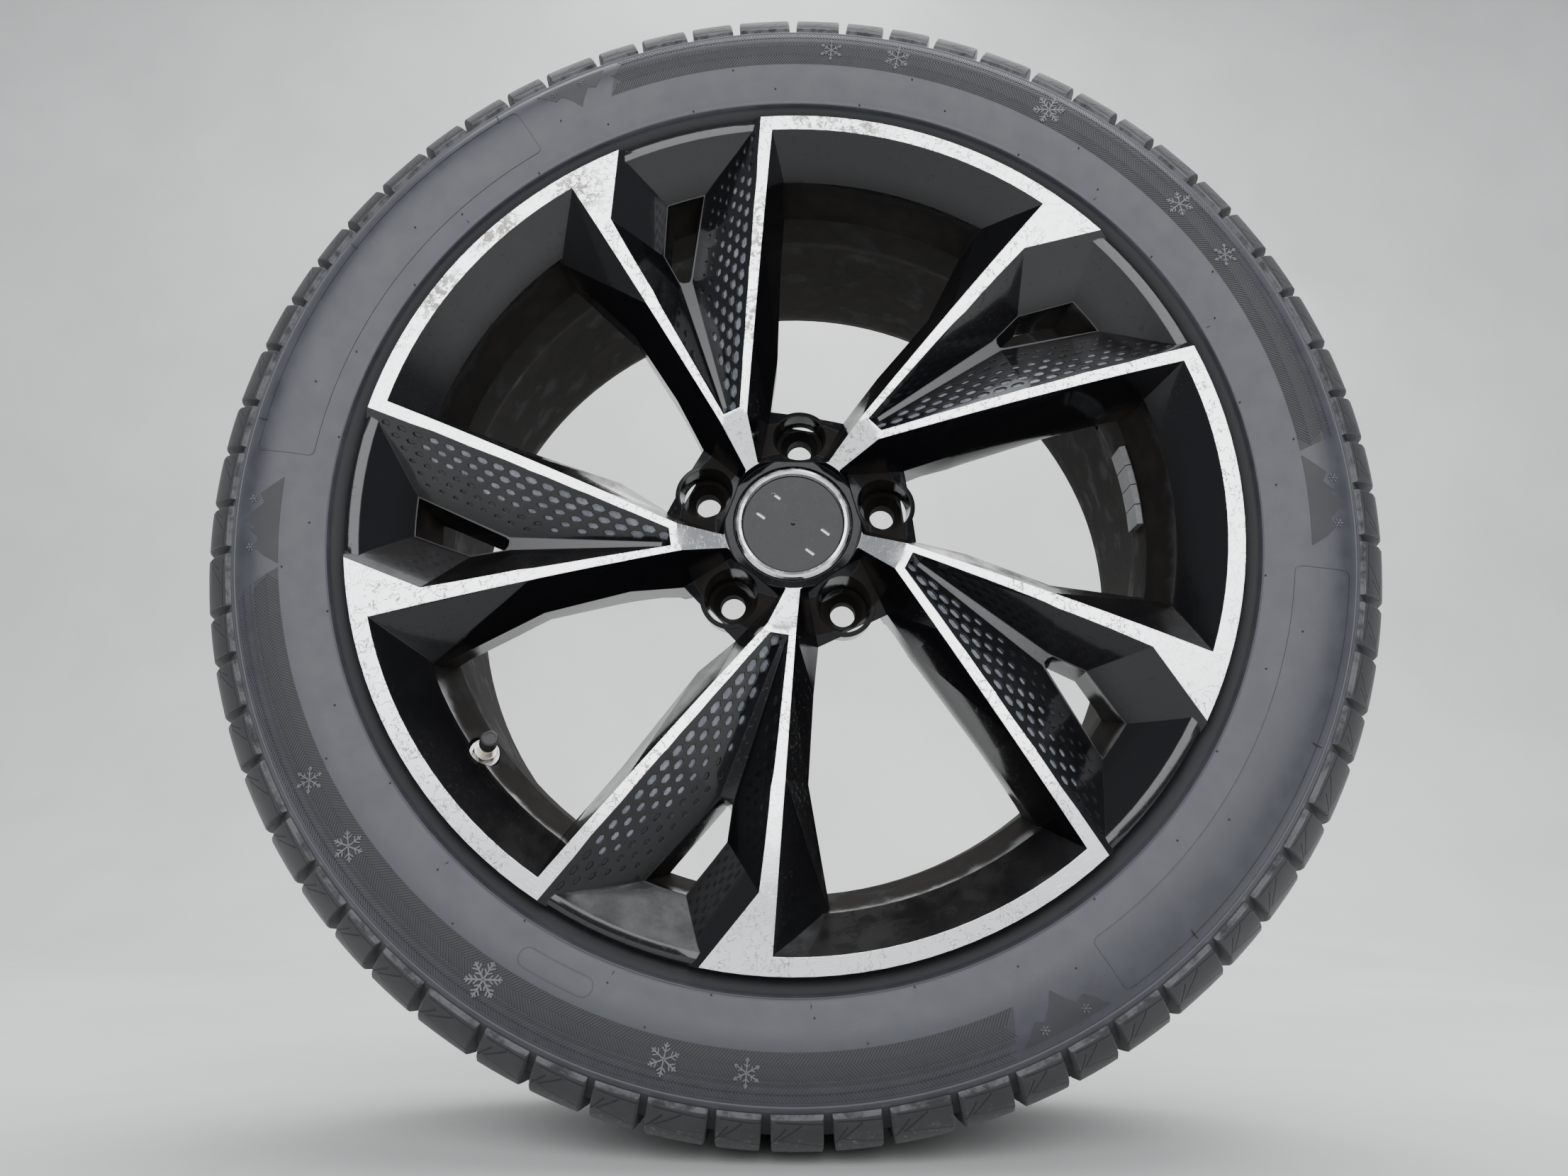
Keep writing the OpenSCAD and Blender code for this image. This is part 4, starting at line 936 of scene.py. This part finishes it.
# %% Frames around the plain fields
def frame_line(name, corners, width=0.7, tall=0.35):
    """corners: closed list of (radius, angle), joined by a line on the wall."""
    path = []
    for a, b in zip(corners, corners[1:] + corners[:1]):
        length = math.dist((a[0], a[1] * 5), (b[0], b[1] * 5))
        count = max(2, int(length / 3))
        for i in range(count):
            path.append((a[0] + (b[0] - a[0]) * i / count, a[1] + (b[1] - a[1]) * i / count))
    centres = [Vector(at(r, a, 0)) * 1000 for r, a in path]
    points, faces = [], []
    n = len(path)
    for i, (r, a) in enumerate(path):
        ahead = centres[(i + 1) % n] - centres[i - 1]
        side = Vector((ahead.z, 0, -ahead.x)).normalized() * width / 2
        for shift, lift in ((-1, -0.3), (-0.4, tall), (0.4, tall), (1, -0.3)):
            spot = centres[i] + side * shift
            height = wall_height(math.hypot(spot.x, spot.z)) + lift
            points.append((spot.x / 1000, -height / 1000, spot.z / 1000))
    for i in range(n):
        a, b = 4 * i, 4 * ((i + 1) % n)
        for j in range(4):
            k = (j + 1) % 4
            faces.append((a + j, a + k, b + k, b + j))
    made = mesh_object(name, points, faces, sharp=40)
    made.data.materials.append(side_rubber.material)
    return made


def rounded_field(first, last, low, high, corner_r=3.0):
    corner_a = corner_r * 57.3 / low
    loop = []
    for r, a, start in ((high - corner_r, last - corner_a, 0), (low + corner_r, last - corner_a, 90),
                        (low + corner_r, first + corner_a, 180), (high - corner_r, first + corner_a, 270)):
        for step in range(0, 91, 30):
            t = math.radians(start + step)
            loop.append((r + corner_r * math.cos(t), a + corner_a * math.sin(t)))
    return loop


frames = [frame_line("field_frame_1", rounded_field(97.5, 147.0, 274.0, 303.0)),
          frame_line("field_frame_2", rounded_field(-158.6, -150.0, 268.0, 278.0, 4.6)),
          frame_line("field_frame_3", rounded_field(-84.0, -34.0, 270.0, 301.0))]
print("frames:", len(frames))

# %% Nubs and whiskers of the mould's vents
def nub_sample(name, radius, tall, sides=8):
    ring = [(radius * math.sin(2 * math.pi * k / sides), radius * math.cos(2 * math.pi * k / sides))
            for k in range(sides)]
    points = [(x / 1000, 0.0003, z / 1000) for x, z in ring]
    points += [(x * 0.8 / 1000, -tall / 1000, z * 0.8 / 1000) for x, z in ring]
    faces = [tuple(range(sides - 1, -1, -1)), tuple(range(sides, 2 * sides))]
    faces += [(k, (k + 1) % sides, sides + (k + 1) % sides, sides + k) for k in range(sides)]
    return mesh_object(name, points, faces, smooth=False)


nub_angles = [9.0 + 22.5 * k for k in range(16)]
nubs = [(on_wall(259.5, a), a, (1, 1, 1)) for a in nub_angles]
nubs += [(on_wall(267.0, a + 11.2), a, (1, 1, 1)) for a in nub_angles]
nubs += [(on_wall(280.5, a + 6.0), a, (1, 1, 1)) for a in nub_angles]
vents = [copies("vent_nubs", nub_sample("nub", 0.55, 0.7), nubs, floor_rubber)]


def whisker_sample(name, long):
    return joined(name, [strip((0, 0), (0.5, long), 0.7, -0.2, 0.7)])


whiskers = [(on_wall(261.0, a), a, (1, 1, 1)) for a in (43.2, 65.8, -47.5, -160, -137.5, 178)]
whiskers += [(on_wall(300.0, a), a, (1, 0.9, 0.9)) for a in (-80.5, -58.4, -36.2, 116.0, 138.5)]
vents.append(copies("vent_whiskers", whisker_sample("whisker", 5.6), whiskers, floor_rubber, wander=2.0))
print("vent marks:", len(nubs) + len(whiskers))

# %% [markdown]
# All of this is one moulding on the real tyre, so every part rides on the wheel's body and the
# whole stands for the tyre's solid. The rear sidewall is plain, as on many such tyres.

# %% Hand the tyre over
for piece in [carcass] + tread + ornament + hatching + flakes + hills + frames + vents:
    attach(piece, "wheel")
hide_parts("tyre")
print("pieces of the tyre:", len(tread) + len(ornament) + len(hatching) + len(flakes) + len(vents) + 8)

# %% [markdown]
# ## Cap, valve and weights
#
# These solids have their true shape already, so they keep their meshes and only get a finish.
# The chrome ring is pitted, most at its upper left, where salt water has sat on it.

# %% Finishes of the cap
cap_black = Finish("cap_gloss_black", Coat_Weight=0.15, Coat_Roughness=0.05, Specular_IOR_Level=0.2)
cap_dust = cap_black.between(cap_black.noise(150.0, 5.0, 0.65), 0.52, 0.7, 0.0, 0.3)
cap_black.set("Base Color", cap_black.mix(cap_dust, (0.008, 0.008, 0.009), (0.08, 0.075, 0.07)))
cap_black.set("Roughness", cap_black.between(cap_dust, 0.0, 0.3, 0.14, 0.45))
cap_black.set("Normal", cap_black.bump(cap_black.noise(700.0, 2.0, 0.5), 0.0001, 0.08))
chrome = Finish("pitted_chrome", Metallic=1.0)
worst = chrome.near([at(33, -60, 84), at(33, -110, 84)], 0.05)
pits = chrome.between(chrome.noise(900.0, 4.0, 0.7), 0.58, 0.64)
pitted = chrome.math("MULTIPLY", pits, chrome.math("ADD", chrome.math("MULTIPLY", worst, 0.8), 0.15))
cloud = chrome.between(chrome.noise(120.0, 4.0, 0.6), 0.4, 0.7)
clean = chrome.mix(cloud, (0.8, 0.8, 0.81), (0.66, 0.65, 0.63))
chrome.set("Base Color", chrome.mix(pitted, clean, (0.2, 0.17, 0.13)))
chrome_rough = chrome.between(cloud, 0.0, 1.0, 0.12, 0.3)
chrome.set("Roughness", chrome.math("ADD", chrome_rough, chrome.math("MULTIPLY", pitted, 0.4)))
chrome.set("Normal", chrome.bump(pitted, 0.0002, -0.6))
print("cap finishes: 2")

# %% Finishes of the valve and the weights
def clouded(made, low, high, rough, spread, grain, fine, relief):
    cloud = made.between(made.noise(grain, 4.0, 0.6), 0.35, 0.7)
    made.set("Base Color", made.mix(cloud, low, high))
    made.set("Roughness", made.between(cloud, 0.0, 1.0, rough, rough + spread))
    made.set("Normal", made.bump(made.noise(*fine), 0.0001, relief))
    return made


def metal(name, low, high, rough, grain):
    made = Finish(name, Metallic=1.0)
    return clouded(made, low, high, rough, 0.18, grain, (grain * 6, 2.0, 0.5), 0.2)


def plain(name, low, high, rough, grain, relief=0.3):
    made = Finish(name)
    return clouded(made, low, high, rough, 0.15, grain, (grain * 8, 3.0, 0.6), relief)


nickel = metal("valve_nickel", (0.7, 0.67, 0.6), (0.5, 0.47, 0.42), 0.24, 300.0)
steel = metal("bright_steel", (0.62, 0.62, 0.63), (0.45, 0.45, 0.46), 0.3, 220.0)
brass = metal("core_brass", (0.72, 0.55, 0.28), (0.55, 0.4, 0.2), 0.3, 400.0)
cap_plastic = plain("valve_cap_plastic", (0.018, 0.018, 0.019), (0.045, 0.043, 0.042), 0.42, 500.0)
black_rubber = plain("valve_rubber", (0.02, 0.02, 0.02), (0.04, 0.04, 0.04), 0.7, 300.0)
red_seal = plain("seal_rubber", (0.3, 0.03, 0.03), (0.22, 0.02, 0.02), 0.6, 400.0)
tape = plain("adhesive_tape", (0.02, 0.02, 0.021), (0.05, 0.048, 0.045), 0.75, 150.0)
weight_grey = plain("coated_weight", (0.09, 0.093, 0.098), (0.17, 0.17, 0.172), 0.42, 140.0, 0.5)
dressed = {"centre_cap_body": cap_black, "centre_cap_ring": chrome, "cap_spring_ring": steel,
           "valve_stem": nickel, "valve_grommet": black_rubber, "valve_washer": steel,
           "valve_nut": nickel, "valve_core_barrel": brass, "valve_core_seal": black_rubber,
           "valve_core_spring": steel, "valve_core_pin": brass, "valve_cap": cap_plastic,
           "valve_cap_seal": red_seal, "weight_tape": tape}
for number in range(1, 5):
    dressed["balance_weight_%d" % number] = weight_grey
for name, finish in dressed.items():
    for slot in nodes[name].material_slots:
        slot.material = finish.material
print("solids with a finish of their own:", len(dressed))

# %% [markdown]
# ## Floor and light
#
# A pale sweep stands in for the ground and what is behind the wheel. The light is soft and comes
# mostly from above and in front, as under a bright cloudy sky, so that the turned face is
# bright and the slanting walls of the pockets show a soft reflection.

# %% Floor and backdrop as one sweep
floor_z = -0.3392
curve = [(-4.0, floor_z), (1.2, floor_z)]
curve += [(1.2 + 0.8 * math.sin(t), floor_z + 0.8 * (1 - math.cos(t)))
          for t in np.linspace(0.1, math.pi / 2, 12)]
curve += [(2.0, 4.0)]
points = [(x, y, z) for x in (-5.0, 5.0) for y, z in curve]
count = len(curve)
sweep = mesh_object("studio_sweep", points,
                    [(i, i + 1, count + i + 1, count + i) for i in range(count - 1)])
pale = Finish("pale_floor")
shade = pale.between(pale.noise(3.0, 4.0, 0.6), 0.3, 0.7)
pale.set("Base Color", pale.mix(shade, (0.66, 0.66, 0.65), (0.72, 0.72, 0.71)))
pale.set("Roughness", 0.8)
sweep.data.materials.append(pale.material)
print("floor at", floor_z)

# %% Lights
def soft_box(name, place, aim, width, height, power, colour=(1.0, 1.0, 1.0)):
    light = bpy.data.lights.new(name, "AREA")
    light.shape = "RECTANGLE"
    light.size = width
    light.size_y = height
    light.energy = power
    light.color = colour
    made = bpy.data.objects.new(name, light)
    bpy.context.scene.collection.objects.link(made)
    made.location = place
    made.rotation_euler = (Vector(aim) - Vector(place)).to_track_quat("-Z", "Y").to_euler()
    return made


soft_box("sky_box", (0.2, 0.2, 2.6), (0, 0, 0), 3.4, 2.6, 90, (0.96, 0.98, 1.0))
soft_box("front_box", (0.0, -3.4, 1.5), (0, 0, 0.1), 4.6, 2.6, 170, (0.97, 0.98, 1.0))
soft_box("rear_box", (0.4, 1.6, 1.8), (0, 0.6, 0), 1.8, 1.2, 30)
world = bpy.data.worlds.new("soft_world")
bpy.context.scene.world = world
world.use_nodes = True
world.node_tree.nodes["Background"].inputs["Color"].default_value = (0.86, 0.9, 0.96, 1.0)
world.node_tree.nodes["Background"].inputs["Strength"].default_value = 0.3
